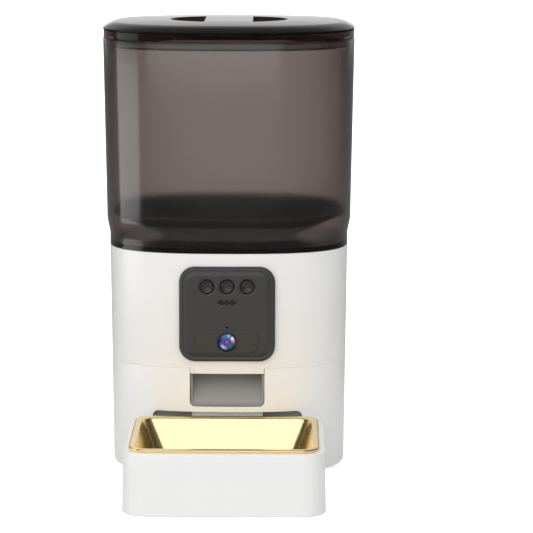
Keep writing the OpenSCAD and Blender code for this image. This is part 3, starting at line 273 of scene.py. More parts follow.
def smooth(mesh, crease=32):
    """Shades a mesh smooth, apart from edges sharper than the crease angle."""
    mesh.shade_smooth()
    mesh.set_sharp_from_angle(angle=math.radians(crease))
    return mesh


def settle(piece):
    """Turns a piece's modifiers into its plain mesh."""
    graph = bpy.context.evaluated_depsgraph_get()
    mesh = bpy.data.meshes.new_from_object(piece.evaluated_get(graph))
    piece.modifiers.clear()
    piece.data = mesh


def node_tree(name, sizes):
    """New Geometry Nodes tree with named inputs, and the outputs of its input node."""
    tree = bpy.data.node_groups.new(name, "GeometryNodeTree")
    tree.interface.new_socket("Geometry", in_out="INPUT", socket_type="NodeSocketGeometry")
    for label, kind in sizes:
        tree.interface.new_socket(label, in_out="INPUT", socket_type="NodeSocket" + kind)
    tree.interface.new_socket("Geometry", in_out="OUTPUT", socket_type="NodeSocketGeometry")
    return tree, put(tree, "NodeGroupInput").outputs


def end_tree(tree, geometry, material):
    """Ends a tree with plain geometry that has its material."""
    plain = put(tree, "GeometryNodeRealizeInstances", {"Geometry": geometry}).outputs[0]
    dressed = put(tree, "GeometryNodeSetMaterial", {"Geometry": plain, "Material": material}).outputs[0]
    put(tree, "NodeGroupOutput", {"Geometry": dressed})


def grow(name, mesh, tree, **sizes):
    """Runs a tree on a mesh and returns the result as a plain object. Underscores stand for spaces."""
    piece = new_object(name, mesh)
    step = piece.modifiers.new("grow", "NODES")
    step.node_group = tree
    for item in tree.interface.items_tree:
        key = item.name.lower().replace(" ", "_")
        if item.in_out == "INPUT" and key in sizes:
            step[item.identifier] = sizes[key]
    settle(piece)
    piece.data.materials.clear()
    piece.data.materials.append(sizes["material"])
    return piece


def points_mesh(places):
    """Mesh of loose points."""
    mesh = bpy.data.meshes.new("places")
    mesh.from_pydata(places, [], [])
    return mesh


def surface(tree, shader, tint, pattern, spread, shine, relief):
    """Gives a shader its tint, and an uneven gloss and a relief that follow a pattern. Shine is (gloss, swing),
    and relief is (strength, depth)."""
    gloss, swing = shine
    strength, depth = relief
    tree.links.new(tint, shader.inputs["Base Color"])
    uneven = put(tree, "ShaderNodeMapRange", {
        "Value": pattern, "From Min": 0.5 - spread, "From Max": 0.5 + spread,
        "To Min": gloss * (1 - swing), "To Max": gloss * (1 + swing)}).outputs["Result"]
    tree.links.new(uneven, shader.inputs["Roughness"])
    bump = put(tree, "ShaderNodeBump", {"Strength": strength, "Distance": depth, "Height": pattern})
    tree.links.new(bump.outputs["Normal"], shader.inputs["Normal"])


def moulded(name, colour, gloss, grain=0.0005, relief=0.00002, cloud=0.03, **sockets):
    """Moulded plastic or rubber: faint clouds in the colour, a fine grain, and uneven gloss."""
    material, tree, shader = new_material(name, **sockets)
    place = object_place(tree)
    clouds = put(tree, "ShaderNodeTexNoise", {"Vector": place, "Scale": cloud_scale, "Detail": 3}).outputs["Fac"]
    specks = put(tree, "ShaderNodeTexNoise", {"Vector": place, "Scale": 1 / grain, "Detail": 2}).outputs["Fac"]
    tint = two_tone(tree, clouds, [c * (1 - cloud) for c in colour], [min(1, c * (1 + cloud)) for c in colour])
    surface(tree, shader, tint, specks, grain_spread, (gloss, grain_swing), (grain_strength, relief))
    return material


set_out, given = node_tree("set_out_copies", [("Copy", "Object"), ("Size", "Float"), ("Material", "Material")])
copy = put(set_out, "GeometryNodeObjectInfo", {"Object": given["Copy"]}, transform_space="ORIGINAL")
copies = put(set_out, "GeometryNodeInstanceOnPoints", {
    "Points": given["Geometry"], "Instance": copy.outputs["Geometry"], "Scale": given["Size"]})
end_tree(set_out, copies.outputs["Instances"], given["Material"])

foot_outline = [(0.0, 0.0), (sole_r, 0.0)]
for ring_r in groove_rs:
    foot_outline += [
        (ring_r, 0.0), (ring_r, foot_groove), (ring_r + groove_w, foot_groove), (ring_r + groove_w, 0.0)]
for i in range(edge_steps + 1):
    turn = math.pi / 2 * i / edge_steps
    foot_outline.append((foot_r - foot_edge * (1 - math.sin(turn)), foot_edge * (1 - math.cos(turn))))
foot_outline += [(foot_r, foot_h), (0.0, foot_h)]
foot_rubber = moulded("foot_rubber", (0.09, 0.09, 0.09), 0.75, grain=0.0003, relief=0.00004)
one_foot = new_object("one_foot", turned(foot_outline, (0, 0, 0), (0, 0, 1)))
foot_x = foot_high.x - foot_r
foot_front = foot_low.y + foot_r
foot_back = foot_high.y - foot_r
foot_places = [(x, y, 0) for x in (-foot_x, foot_x) for y in (foot_front, foot_back)]
feet = grow("rubber_feet", points_mesh(foot_places), set_out, copy=one_foot, size=1.0, material=foot_rubber)
smooth(feet.data)
bpy.data.objects.remove(one_foot)
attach(feet, "base")
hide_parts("feet")

# Base plate and battery cover: flat mouldings in off-white plastic with a fine spark texture. The plate is
# held by four screws, and the cover turns on two pins at its front edge.
base_plastic = moulded("base_plastic", (0.74, 0.74, 0.73), 0.55, grain=0.0006, relief=0.00004)


def dress(material, *names):
    """Gives a finish to CAD pieces that stay as they are."""
    for name in names:
        for place in nodes[name].material_slots:
            place.material = material


dress(base_plastic, "base_plate", "battery_cover")

# Screws: zinc-plated pan heads with a cross recess, and a rolled thread. All fasteners of the feeder share
# one form, set out in groups and driven home from below, above or behind.
head_edge = 0.82
thread_share = 0.84
slit_length = 1.1
slit_width = 0.26
pitch_share = 0.8
core_sides, head_sides, ridge_sides, helix_steps = 20, 28, 4, 18
line_scale = 900
line_dark, line_light = 0.9, 1.08
line_spread, line_swing, line_strength, line_depth = 0.25, 0.25, 0.4, 0.00001
case_screw_r, case_head_r = 0.0015, 0.0029
small_screw_r, small_head_r = 0.0010, 0.0019
base_head_h, case_head_h, small_head_h = 0.0015, 0.0022, 0.0014
upward, downward, forward = (0, 0, 0), (math.pi, 0, 0), (math.pi / 2, 0, 0)


def brushed(name, colour, gloss, stretch=(1, 1, 12)):
    """Bare metal with fine drawn lines and uneven gloss."""
    material, tree, shader = new_material(name, Metallic=1.0)
    along = put(tree, "ShaderNodeMapping", {
        "Vector": object_place(tree), "Scale": [line_scale / s for s in stretch]}).outputs[0]
    lines = put(tree, "ShaderNodeTexNoise", {"Vector": along, "Scale": 1.0, "Detail": 3}).outputs["Fac"]
    tint = two_tone(tree, lines, [c * line_dark for c in colour], [min(1, c * line_light) for c in colour])
    surface(tree, shader, tint, lines, line_spread, (gloss, line_swing), (line_strength, line_depth))
    return material


def vector(tree, **parts):
    """Vector from numbers or outputs of other nodes, by axis."""
    return put(tree, "ShaderNodeCombineXYZ", parts).outputs[0]


def moved(tree, mesh, **by):
    """Mesh moved by numbers or outputs of other nodes, by axis."""
    return put(tree, "GeometryNodeTransform", {"Geometry": mesh, "Translation": vector(tree, **by)}).outputs[0]


screw_tree, given = node_tree("screw_set", [
    ("Thread Radius", "Float"), ("Thread Length", "Float"), ("Head Radius", "Float"), ("Head Height", "Float"),
    ("Pitch", "Float"), ("Turn", "Rotation"), ("Material", "Material")])
thread_r, thread_l = given["Thread Radius"], given["Thread Length"]
head_r, head_h = given["Head Radius"], given["Head Height"]
core_r = times(screw_tree, thread_r, thread_share)
core = put(screw_tree, "GeometryNodeMeshCylinder", {
    "Vertices": core_sides, "Radius": core_r, "Depth": thread_l})
core = moved(screw_tree, core.outputs["Mesh"], Z=times(screw_tree, thread_l, 0.5))
helix = put(screw_tree, "GeometryNodeCurveSpiral", {
    "Resolution": helix_steps, "Rotations": calc(screw_tree, "DIVIDE", thread_l, given["Pitch"]),
    "Start Radius": core_r, "End Radius": core_r, "Height": thread_l})
ridge = put(screw_tree, "GeometryNodeCurvePrimitiveCircle", {
    "Resolution": ridge_sides, "Radius": times(screw_tree, thread_r, 1 - thread_share)})
thread = put(screw_tree, "GeometryNodeCurveToMesh", {
    "Curve": helix.outputs["Curve"], "Profile Curve": ridge.outputs["Curve"], "Fill Caps": True}).outputs[0]
head = put(screw_tree, "GeometryNodeMeshCone", {
    "Vertices": head_sides, "Radius Top": head_r, "Radius Bottom": times(screw_tree, head_r, head_edge),
    "Depth": head_h})
head_down = times(screw_tree, head_h, -1.0)
head = moved(screw_tree, head.outputs["Mesh"], Z=head_down)
slit_l, slit_w = times(screw_tree, head_r, slit_length), times(screw_tree, head_r, slit_width)
for across, wide in ((slit_l, slit_w), (slit_w, slit_l)):
    slit = put(screw_tree, "GeometryNodeMeshCube", {"Size": vector(screw_tree, X=across, Y=wide, Z=head_h)})
    head = put(screw_tree, "GeometryNodeMeshBoolean", {
        "Mesh 1": head, "Mesh 2": moved(screw_tree, slit.outputs["Mesh"], Z=head_down),
    }, operation="DIFFERENCE", solver="EXACT").outputs["Mesh"]
whole = put(screw_tree, "GeometryNodeJoinGeometry")
for form in (core, thread, head):
    screw_tree.links.new(form, whole.inputs[0])
screws = put(screw_tree, "GeometryNodeInstanceOnPoints", {
    "Points": given["Geometry"], "Instance": whole.outputs[0], "Rotation": given["Turn"]})
end_tree(screw_tree, screws.outputs["Instances"], given["Material"])

bright_steel = brushed("bright_steel", (0.62, 0.62, 0.61), 0.34)


def screw_group(node, body, large, head_high, turn):
    """Stands screws where the CAD group has them: rows at both ends of its box, seated at the head's underside."""
    low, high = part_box(node)
    thread = case_screw_r if large else small_screw_r
    rim = case_head_r if large else small_head_r
    xs = (low.x + rim, high.x - rim)
    if turn == forward:
        length = high.y - low.y - head_high
        places = [(x, high.y - head_high, z) for x in xs for z in (low.z + rim, high.z - rim)]
    else:
        length = high.z - low.z - head_high
        seat = high.z - head_high if turn == downward else low.z + head_high
        rows = {low.y + rim, high.y - rim} if high.y - low.y > 3 * rim else {(low.y + high.y) / 2}
        places = [(x, y, seat) for x in xs for y in sorted(rows)]
    piece = grow(
        node + "_set", points_mesh(places), screw_tree, thread_radius=thread, thread_length=length,
        head_radius=rim, head_height=head_high, pitch=pitch_share * thread, turn=turn, material=bright_steel)
    smooth(piece.data, crease=40)
    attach(piece, body)
    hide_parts(node)


screw_group("base_screws", "base", True, base_head_h, upward)
screw_group("case_screws", "base", True, case_head_h, upward)
screw_group("deck_screws", "base", True, case_head_h, downward)
screw_group("panel_screws", "base", False, small_head_h, forward)
screw_group("plate_screws", "base", False, small_head_h, upward)
screw_group("motor_screws", "base", False, small_head_h, downward)
screw_group("chute_screws", "base", False, small_head_h, upward)
screw_group("housing_screws", "tank", False, small_head_h, upward)

# Battery box, contacts and boards: a dark box for the back-up cells with plated contact springs, and green
# boards with copper tracks under the solder mask, screwed to posts of the base plate.
dark_plastic = moulded("dark_plastic", (0.05, 0.045, 0.043), 0.5, grain=0.0006, relief=0.00004)
track_pitch = 0.0016
circuit_board, board_tree, board_shader = new_material("circuit_board", Roughness=0.32)
tracks = put(board_tree, "ShaderNodeTexBrick", {
    "Vector": object_place(board_tree), "Color1": (0.012, 0.11, 0.045, 1), "Color2": (0.018, 0.14, 0.055, 1),
    "Mortar": (0.10, 0.22, 0.08, 1), "Scale": 1 / track_pitch, "Mortar Size": 0.06, "Brick Width": 3.5,
    "Row Height": 0.6})
board_tree.links.new(tracks.outputs["Color"], board_shader.inputs["Base Color"])
track_bump = put(board_tree, "ShaderNodeBump", {
    "Strength": 0.3, "Distance": 0.00003, "Height": tracks.outputs["Fac"]})
board_tree.links.new(track_bump.outputs["Normal"], board_shader.inputs["Normal"])
dress(dark_plastic, "battery_box", "speaker", "microphone", "lens_barrel")
dress(circuit_board, "main_board", "camera_board", "button_board")
dress(bright_steel, "battery_contacts", "wireless_module")

# Lower shell: a white satin moulding whose walls follow a soft rectangle in plan and lean in a little
# towards the floor. It has the chute's opening, the tray's slot with its guide, a lip and screw posts.
lower_low, lower_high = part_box("lower_shell")
half_w = upper_high.x
half_d = (upper_high.y - upper_low.y) / 2
rim_z = upper_high.z
lip_h = 0.003
lip_root = 0.004
lip_t = 0.0016
seam_z = lower_high.z - lip_h
shell_floor_z = lower_low.z
shell_wall = 0.0025
shell_lean = 0.002
squareness = 2.8
plan_steps = 288
seam_round = 0.0005
foot_round = 0.0012
seat_gap = 0.00005
lip_round = 0.0004
post_r = 0.0045
post_y = 0.024
post_x = 0.0854
post_l = 0.014
post_clear = 0.0002
base_post_low, base_post_high = 0.006, 0.020
cut_reach = 0.02
chute_w = 0.0586
chute_z = 0.0567
chute_corner = 0.004
slot_w = 0.118
slot_top_z = 0.0525
slot_h = 0.012
slot_corner = 0.005
guide_t = 0.0016
guide_play = 0.0015
guide_back_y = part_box("bowl_tray")[1].y + guide_play
inlet_r = 0.0045
inlet_z = 0.060
inlet_in, inlet_bore_l = 0.01, 0.03
level_face = 0.2
white_plastic = moulded(
    "white_plastic", (0.86, 0.858, 0.848), 0.36, grain=0.0009, relief=0.000006, cloud=0.006)
# Grey plastic for the chute, deck, switches, rotor and agitator. The same finish goes on the white lower shell's
# slot and chute opening as painted shade.
grey_plastic = moulded("grey_plastic", (0.36, 0.36, 0.36), 0.5, grain=0.0007, relief=0.00003)


def lean_out(z):
    """Outline offset from the body rim at a height."""
    return -shell_lean * (rim_z - z) / rim_z


plan_tree, given = node_tree("plan_wall", [
    ("Half Width", "Float"), ("Half Depth", "Float"), ("Middle", "Float"), ("Squareness", "Float"),
    ("Steps", "Int"), ("Material", "Material")])
profile_count = put(
    plan_tree, "GeometryNodeAttributeDomainSize", {"Geometry": given["Geometry"]}, component="MESH")
around = calc(plan_tree, "ADD", given["Steps"], 1.0)
sheet = put(plan_tree, "GeometryNodeMeshGrid", {
    "Vertices X": profile_count.outputs["Point Count"], "Vertices Y": around})
index = put(plan_tree, "GeometryNodeInputIndex").outputs[0]
row = calc(plan_tree, "FLOOR", calc(plan_tree, "DIVIDE", index, around))
profile_point = put(plan_tree, "GeometryNodeSampleIndex", {
    "Geometry": given["Geometry"], "Value": put(plan_tree, "GeometryNodeInputPosition").outputs[0], "Index": row,
}, data_type="FLOAT_VECTOR")
part = put(plan_tree, "ShaderNodeSeparateXYZ", {"Vector": profile_point.outputs[0]}).outputs
step_angle = calc(plan_tree, "DIVIDE", 2 * math.pi, given["Steps"])
angle = times(plan_tree, calc(plan_tree, "MODULO", index, around), step_angle)
bend = calc(plan_tree, "DIVIDE", 2.0, given["Squareness"])
reach = {}
for key, wave, half in (("X", "COSINE", "Half Width"), ("Y", "SINE", "Half Depth")):
    swing = calc(plan_tree, wave, angle)
    eased = calc(plan_tree, "POWER", calc(plan_tree, "ABSOLUTE", swing), bend)
    signed = times(plan_tree, eased, calc(plan_tree, "SIGN", swing))
    offset = calc(plan_tree, "ADD", given[half], part["X"])
    reach[key] = times(plan_tree, signed, offset, part["Y"])
reach["Y"] = calc(plan_tree, "ADD", reach["Y"], given["Middle"])
walls = put(plan_tree, "GeometryNodeSetPosition", {
    "Geometry": sheet.outputs["Mesh"], "Position": vector(plan_tree, X=reach["X"], Y=reach["Y"], Z=part["Z"])})
welded = put(plan_tree, "GeometryNodeMergeByDistance", {"Geometry": walls.outputs[0], "Distance": weld})
end_tree(plan_tree, welded.outputs[0], given["Material"])


def rounded(corners, closed=True, steps=5):
    """Outline through (across, up, radius) corners, each rounded by its radius."""
    points = []
    last = len(corners) - 1
    for i, (across, up, radius) in enumerate(corners):
        here = Vector((across, up))
        if radius == 0 or (not closed and i in (0, last)):
            points.append(here)
            continue
        back = (Vector(corners[i - 1][:2]) - here).normalized()
        on = (Vector(corners[(i + 1) % len(corners)][:2]) - here).normalized()
        half = back.angle(on) / 2
        centre = here + (back + on).normalized() * radius / math.sin(half)
        first = here + back * radius / math.tan(half) - centre
        final = here + on * radius / math.tan(half) - centre
        sweep = first.angle_signed(final)
        points += [centre + Matrix.Rotation(-sweep * k / steps, 2) @ first for k in range(steps + 1)]
    return points


def plan_wall(name, outline, material, closed=True):
    """Wall whose (offset, height) outline runs round the plan. An open one closes on the middle at both ends."""
    rows = [(p.x, 1.0, p.y) for p in outline]
    if closed:
        rows.append(rows[0])
    else:
        rows = [(rows[0][0], 0.0, rows[0][2])] + rows + [(rows[-1][0], 0.0, rows[-1][2])]
    piece = grow(
        name, points_mesh(rows), plan_tree, half_width=half_w, half_depth=half_d, middle=middle_y,
        squareness=squareness, steps=plan_steps, material=material)
    made = bmesh.new()
    made.from_mesh(piece.data)
    bmesh.ops.dissolve_degenerate(made, edges=made.edges, dist=weld / 10)
    bmesh.ops.recalc_face_normals(made, faces=made.faces)
    made.to_mesh(piece.data)
    made.free()
    return piece


def carve(piece, mesh, operation="DIFFERENCE"):
    """Cuts, joins or trims a piece with another solid."""
    tool = new_object("tool", mesh)
    step = piece.modifiers.new("carve", "BOOLEAN")
    step.object = tool
    step.operation = operation
    step.solver = "EXACT"
    settle(piece)
    bpy.data.objects.remove(tool)


def merged(meshes):
    """One mesh that holds several."""
    made = bmesh.new()
    for mesh in meshes:
        made.from_mesh(mesh)
    return mesh_from(made, "merged")


def rounded_rectangle(width, height, radius, steps=8):
    """Points of a rectangle with round corners, about the origin."""
    corners = [(1, -1), (1, 1), (-1, 1), (-1, -1)]
    return [
        Vector((
            sx * (width / 2 - radius) + radius * math.cos(math.pi / 2 * (q - 1 + k / steps)),
            sz * (height / 2 - radius) + radius * math.sin(math.pi / 2 * (q - 1 + k / steps)),
        ))
        for q, (sx, sz) in enumerate(corners) for k in range(steps + 1)
    ]


def front_prism(outline, x, z, y0, y1):
    """Straight solid along Y with an outline seen from the front."""
    return loft([[(x + p.x, y, z + p.y) for p in outline] for y in (y0, y1)])


def rod(x, y, z0, z1, radius):
    """Upright rod."""
    return turned([(radius, z0), (radius, z1)], (x, y, 0), (0, 0, 1))


def posts(x, z0, z1, radius):
    """Rods at the four screw posts."""
    return merged([rod(sx * x, middle_y + sy * post_y, z0, z1, radius) for sx in (-1, 1) for sy in (-1, 1)])


lower_in = lean_out(shell_floor_z) - shell_wall
upper_in = lean_out(seam_z) - shell_wall
lower_shell = plan_wall("lower_shell_moulding", rounded([
    (lean_out(shell_floor_z), shell_floor_z, foot_round),
    (lean_out(seam_z), seam_z, seam_round),
    (upper_in - seat_gap, seam_z, 0),
    (upper_in - seat_gap, seam_z + lip_h, lip_round),
    (lower_in - lip_t / 2, seam_z + lip_h, lip_round),
    (lower_in - lip_t / 2, seam_z - lip_root, 0),
    (lower_in, seam_z - lip_root, 0),
    (lower_in, shell_floor_z, lip_round),
]), white_plastic)
front_y = middle_y - half_d - cut_reach
inside_y = middle_y - half_d / 2
chute_top = seam_z + cut_reach
chute_hole = rounded_rectangle(chute_w, chute_top - chute_z, chute_corner)
slot_hole = rounded_rectangle(slot_w, slot_h, slot_corner)
carve(lower_shell, posts(post_x, seam_z - post_l, seam_z - post_clear, post_r), "UNION")
carve(lower_shell, posts(post_x, base_post_low, base_post_high, post_r), "UNION")
slot_z = slot_top_z - slot_h / 2
guide_room = [Vector((lower_in + shell_wall / 2, slot_z + side * slot_h)) for side in (-1, 1)]
guide = plan_wall("slot_guide", guide_room, white_plastic, closed=False)
guide_form = rounded_rectangle(slot_w + 2 * guide_t, slot_h + 2 * guide_t, slot_corner + guide_t)
carve(guide, front_prism(guide_form, 0, slot_z, front_y, guide_back_y + guide_t), "INTERSECT")
carve(lower_shell, guide.data, "UNION")
bpy.data.objects.remove(guide)
inlet_bore = [(inlet_r + seat_gap, depth) for depth in (0, inlet_bore_l)]
carve(lower_shell, merged([
    front_prism(chute_hole, 0, (chute_top + chute_z) / 2, front_y, inside_y),
    front_prism(slot_hole, 0, slot_z, front_y, guide_back_y),
    turned(inlet_bore, (0, middle_y + half_d - inlet_in, inlet_z), (0, 1, 0)),
]))
# Painted shade: the slot's walls and closed end and the sides of the chute's opening belong to the white moulding,
# but they take the grey finish so these hollows read darker.
lower_shell.data.materials.append(grey_plastic)
for face in lower_shell.data.polygons:
    across, _, up = face.center
    in_slot = abs(across) < slot_w / 2 + seat_gap and abs(up - slot_z) < slot_h / 2 + seat_gap
    in_chute = abs(across) < chute_w / 2 + seat_gap and chute_z - seat_gap < up < seam_z
    on_end = in_slot and abs(face.center.y - guide_back_y) < seat_gap
    on_side = (in_slot or in_chute) and face.center.y < guide_back_y and abs(face.normal.y) < level_face
    if on_end or on_side:
        face.material_index = 1
smooth(lower_shell.data)
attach(lower_shell, "base")
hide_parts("lower_shell")

# Power inlet: a black barrel socket with a centre pin, set flush in the back wall of the lower shell and
# wired to the main board.
inlet_plastic = moulded("inlet_plastic", (0.018, 0.018, 0.018), 0.42, grain=0.0004)
dress(inlet_plastic, "power_inlet")

# Upper shell: the white moulding that carries the tank. A square window with round corners takes the front
# panel, and a small tab hangs down over the chute's opening.
tab_h = 0.0043
tab_root = 0.002
tab_back = 0.0002
tab_round = 0.0005
rim_round_out, rim_round_in = 0.0007, 0.0005
deck_post_out, deck_post_z = 0.001, 0.138
fit_gap = 0.0004
panel_low, panel_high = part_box("front_panel")
panel_z = (panel_low.z + panel_high.z) / 2
panel_w = panel_high.z - panel_low.z
panel_corner = 0.0125
upper_shell = plan_wall("upper_shell_moulding", rounded([
    (lean_out(seam_z), seam_z, seam_round),
    (0, rim_z, rim_round_out),
    (upper_in, rim_z, rim_round_in),
    (upper_in, seam_z, 0),
]), white_plastic)
tab = plan_wall("tab", rounded([
    (lean_out(seam_z), seam_z - tab_h, tab_round),
    (lean_out(seam_z), seam_z + tab_root, 0),
    (upper_in + tab_back, seam_z + tab_root, 0),
    (upper_in + tab_back, seam_z - tab_h, tab_round),
]), white_plastic)
tab_room = rounded_rectangle(chute_w - 2 * fit_gap, 2 * cut_reach, tab_round)
carve(tab, front_prism(tab_room, 0, seam_z, front_y, inside_y), "INTERSECT")
carve(upper_shell, tab.data, "UNION")
bpy.data.objects.remove(tab)
carve(upper_shell, posts(post_x + deck_post_out, seam_z + post_clear, deck_post_z, post_r), "UNION")
panel_hole_w = panel_w + 2 * seat_gap
panel_hole = rounded_rectangle(panel_hole_w, panel_hole_w, panel_corner)
carve(upper_shell, front_prism(panel_hole, 0, panel_z, front_y, inside_y))
smooth(upper_shell.data)
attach(upper_shell, "base")
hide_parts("upper_shell")

# Front panel: a charcoal moulding with a fine matt grain. Its face is a raised pad with a soft step round it,
# and it is drilled for three buttons, the speaker and the microphone, and let in for the camera window.
panel_face_y = panel_low.y
panel_rear_y = panel_high.y
panel_wall = 0.002
panel_t = 0.003
border_mm = (
    (0.0, 2.6), (0.05, 2.2), (0.2, 1.8), (0.5, 1.5), (1.7, 0.9), (2.1, 0.8), (3.4, 1.15), (3.6, 1.15), (5.0, 0.5),
    (5.7, 0.25), (6.3, 0.1), (7.0, 0.0), (7.2, 0.0))
window_low, window_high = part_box("infrared_window")
bezel_low, bezel_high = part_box("lens_bezel")
lens_z = (bezel_low.z + bezel_high.z) / 2
bezel_r = bezel_high.x
button_names = ("button_left", "button_middle", "button_right")
button_low, button_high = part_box("button_middle")
button_z = (button_low.z + button_high.z) / 2
button_xs = [(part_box(name)[0].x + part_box(name)[1].x) / 2 for name in button_names]
button_hole_r = 0.0059
sink_w = 0.0014
sink_in = 0.0006
sink_reach = 0.001
panel_steps, window_steps, sound_sides = 12, 16, 16
sound_hole_r = 0.00102
sound_pitch = 0.00425
sound_row = 0.00115
speaker_z = panel_z + 0.0097
mic_z = panel_z - 0.010
panel_plastic = moulded("panel_plastic", (0.039, 0.0385, 0.038), 0.42, grain=0.0004, relief=0.00001)


def panel_rings(width, height, radius, z, rows):
    """Rings of a rounded rectangle seen from the front, from (inset, depth) rows."""
    return [
        [(p.x, y, z + p.y) for p in rounded_rectangle(
            width - 2 * inset, height - 2 * inset, radius - inset, panel_steps)]
        for inset, y in rows
    ]


roll_steps = 6
roll = [math.pi / 2 * i / roll_steps for i in range(roll_steps + 1)]
panel_rows = [(panel_wall, panel_face_y + panel_t), (panel_wall, panel_rear_y), (0, panel_rear_y)]
panel_rows += [(inset / 1000, panel_face_y + depth / 1000) for inset, depth in border_mm]
panel_form = loft(panel_rings(panel_w, panel_w, panel_corner, panel_z, panel_rows))
front_panel = new_object("front_panel_moulding", panel_form)
front_panel.data.materials.append(panel_plastic)
drill_ahead, drill_past = 0.005, 0.002
drill_front = panel_face_y - drill_ahead
drill_back = panel_face_y + panel_t + drill_past


def drilled(radius, x, z):
    """Drill through the panel's face."""
    return turned([(radius, 0), (radius, drill_back - drill_front)], (x, drill_front, z), (0, 1, 0))


sound_tree, given = node_tree("sound_holes", [
    ("Radius", "Float"), ("Depth", "Float"), ("Pitch", "Float"), ("Row Pitch", "Float"), ("Material", "Material")])
bit = put(sound_tree, "GeometryNodeMeshCylinder", {
    "Vertices": sound_sides, "Radius": given["Radius"], "Depth": given["Depth"]})
sound_rows = put(sound_tree, "GeometryNodeJoinGeometry")
for row_level, row_count in ((-1, 3), (0, 4), (1, 3)):
    row_start = vector(
        sound_tree, X=times(sound_tree, given["Pitch"], (1 - row_count) / 2),
        Y=times(sound_tree, given["Row Pitch"], row_level))
    row_line = put(sound_tree, "GeometryNodeMeshLine", {
        "Count": row_count, "Start Location": row_start, "Offset": vector(sound_tree, X=given["Pitch"])})
    sound_tree.links.new(row_line.outputs["Mesh"], sound_rows.inputs[0])
bits = put(sound_tree, "GeometryNodeInstanceOnPoints", {
    "Points": sound_rows.outputs[0], "Instance": bit.outputs["Mesh"]})
end_tree(sound_tree, bits.outputs["Instances"], given["Material"])
sound_bits = grow(
    "sound_bits", points_mesh([(0, 0, 0)]), sound_tree, radius=sound_hole_r, depth=drill_back - drill_front,
    pitch=sound_pitch, row_pitch=sound_row, material=panel_plastic)
sound_mesh = sound_bits.data
sound_mesh.transform(
    Matrix.Translation((0, (drill_front + drill_back) / 2, speaker_z)) @ Matrix.Rotation(math.pi / 2, 4, "X"))
bpy.data.objects.remove(sound_bits)
carve(front_panel, sound_mesh)
carve(front_panel, merged(
    [drilled(button_hole_r, x, button_z) for x in button_xs] + [drilled(sound_hole_r, 0, mic_z)]))
sink_outline = [
    (button_hole_r + sink_w * (1 + sink_reach / sink_in), 0), (button_hole_r, sink_reach + sink_in)]
carve(front_panel, merged(
    [turned(sink_outline, (x, panel_face_y - sink_reach, button_z), (0, 1, 0)) for x in button_xs]))
window_w = window_high.x - window_low.x
window_h = window_high.z - window_low.z
window_t = window_high.y - window_low.y
window_corner = window_h / 2 - 2 * seat_gap
window_seat = rounded_rectangle(window_w + 2 * seat_gap, window_h + 2 * seat_gap, window_corner, window_steps)
carve(front_panel, front_prism(window_seat, 0, lens_z, drill_front, panel_face_y + window_t))
carve(front_panel, drilled(bezel_r + seat_gap, 0, lens_z))
smooth(front_panel.data, crease=12)
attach(front_panel, "base")
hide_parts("front_panel")

# Camera window: a long dark pill of infrared-clear plastic, flush in the panel, with a soft edge. Four
# infrared lamps and the camera board sit behind it.
window_plastic = moulded("window_plastic", (0.041, 0.037, 0.033), 0.45, grain=0.0003, relief=0.000002)
window_edge = 0.00035
window_rows = [(0, window_high.y), (0, window_low.y + window_edge)]
window_rows += [
    (window_edge * (1 - math.cos(a)), window_low.y + window_edge * (1 - math.sin(a))) for a in roll[1:]]
window_form = loft(panel_rings(window_w, window_h, window_corner, lens_z, window_rows))
camera_window = new_object("camera_window", window_form)
camera_window.data.materials.append(window_plastic)
carve(camera_window, drilled(bezel_r + seat_gap, 0, lens_z))
smooth(camera_window.data)
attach(camera_window, "base")
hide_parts("infrared_window")

# Camera lens: a black turned bezel with a stepped bore, and a domed coated glass in it. The glass is painted with
# blue and violet rings and a teal edge low on one side. These are partly the coating's tint and partly painted
# reflections, with a painted white highlight.
glass_low, glass_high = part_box("lens_glass")
glass_r = glass_high.x
glass_edge = 0.0006
bezel_l = bezel_high.y - bezel_low.y
bezel_round = 0.0005
bore_round, bore_flare, bore_step = 0.0006, 0.0002, 0.0008
bezel_steps = 96
bezel_black = moulded("bezel_black", (0.012, 0.012, 0.012), 0.28, grain=0.0004, relief=0.00001)
bezel_outline = [
    (glass_r + seat_gap, bezel_l), (bezel_r, bezel_l), (bezel_r, bezel_round),
    (bezel_r - 0.4 * bezel_round, 0.3 * bezel_round), (bezel_r - bezel_round, 0.0), (glass_r + bore_round, 0.0),
    (glass_r + bore_flare, bore_round / 2), (glass_r + seat_gap, bore_step)]
bezel_turns = [2 * math.pi * i / bezel_steps for i in range(bezel_steps)]
bezel_mesh = loft([
    [(r * math.cos(a), bezel_low.y + d, lens_z + r * math.sin(a)) for a in bezel_turns] for r, d in bezel_outline
], ends=False)
bezel_mesh.materials.append(bezel_black)
lens_bezel = new_object("camera_bezel", smooth(bezel_mesh))
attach(lens_bezel, "base")
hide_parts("lens_bezel")

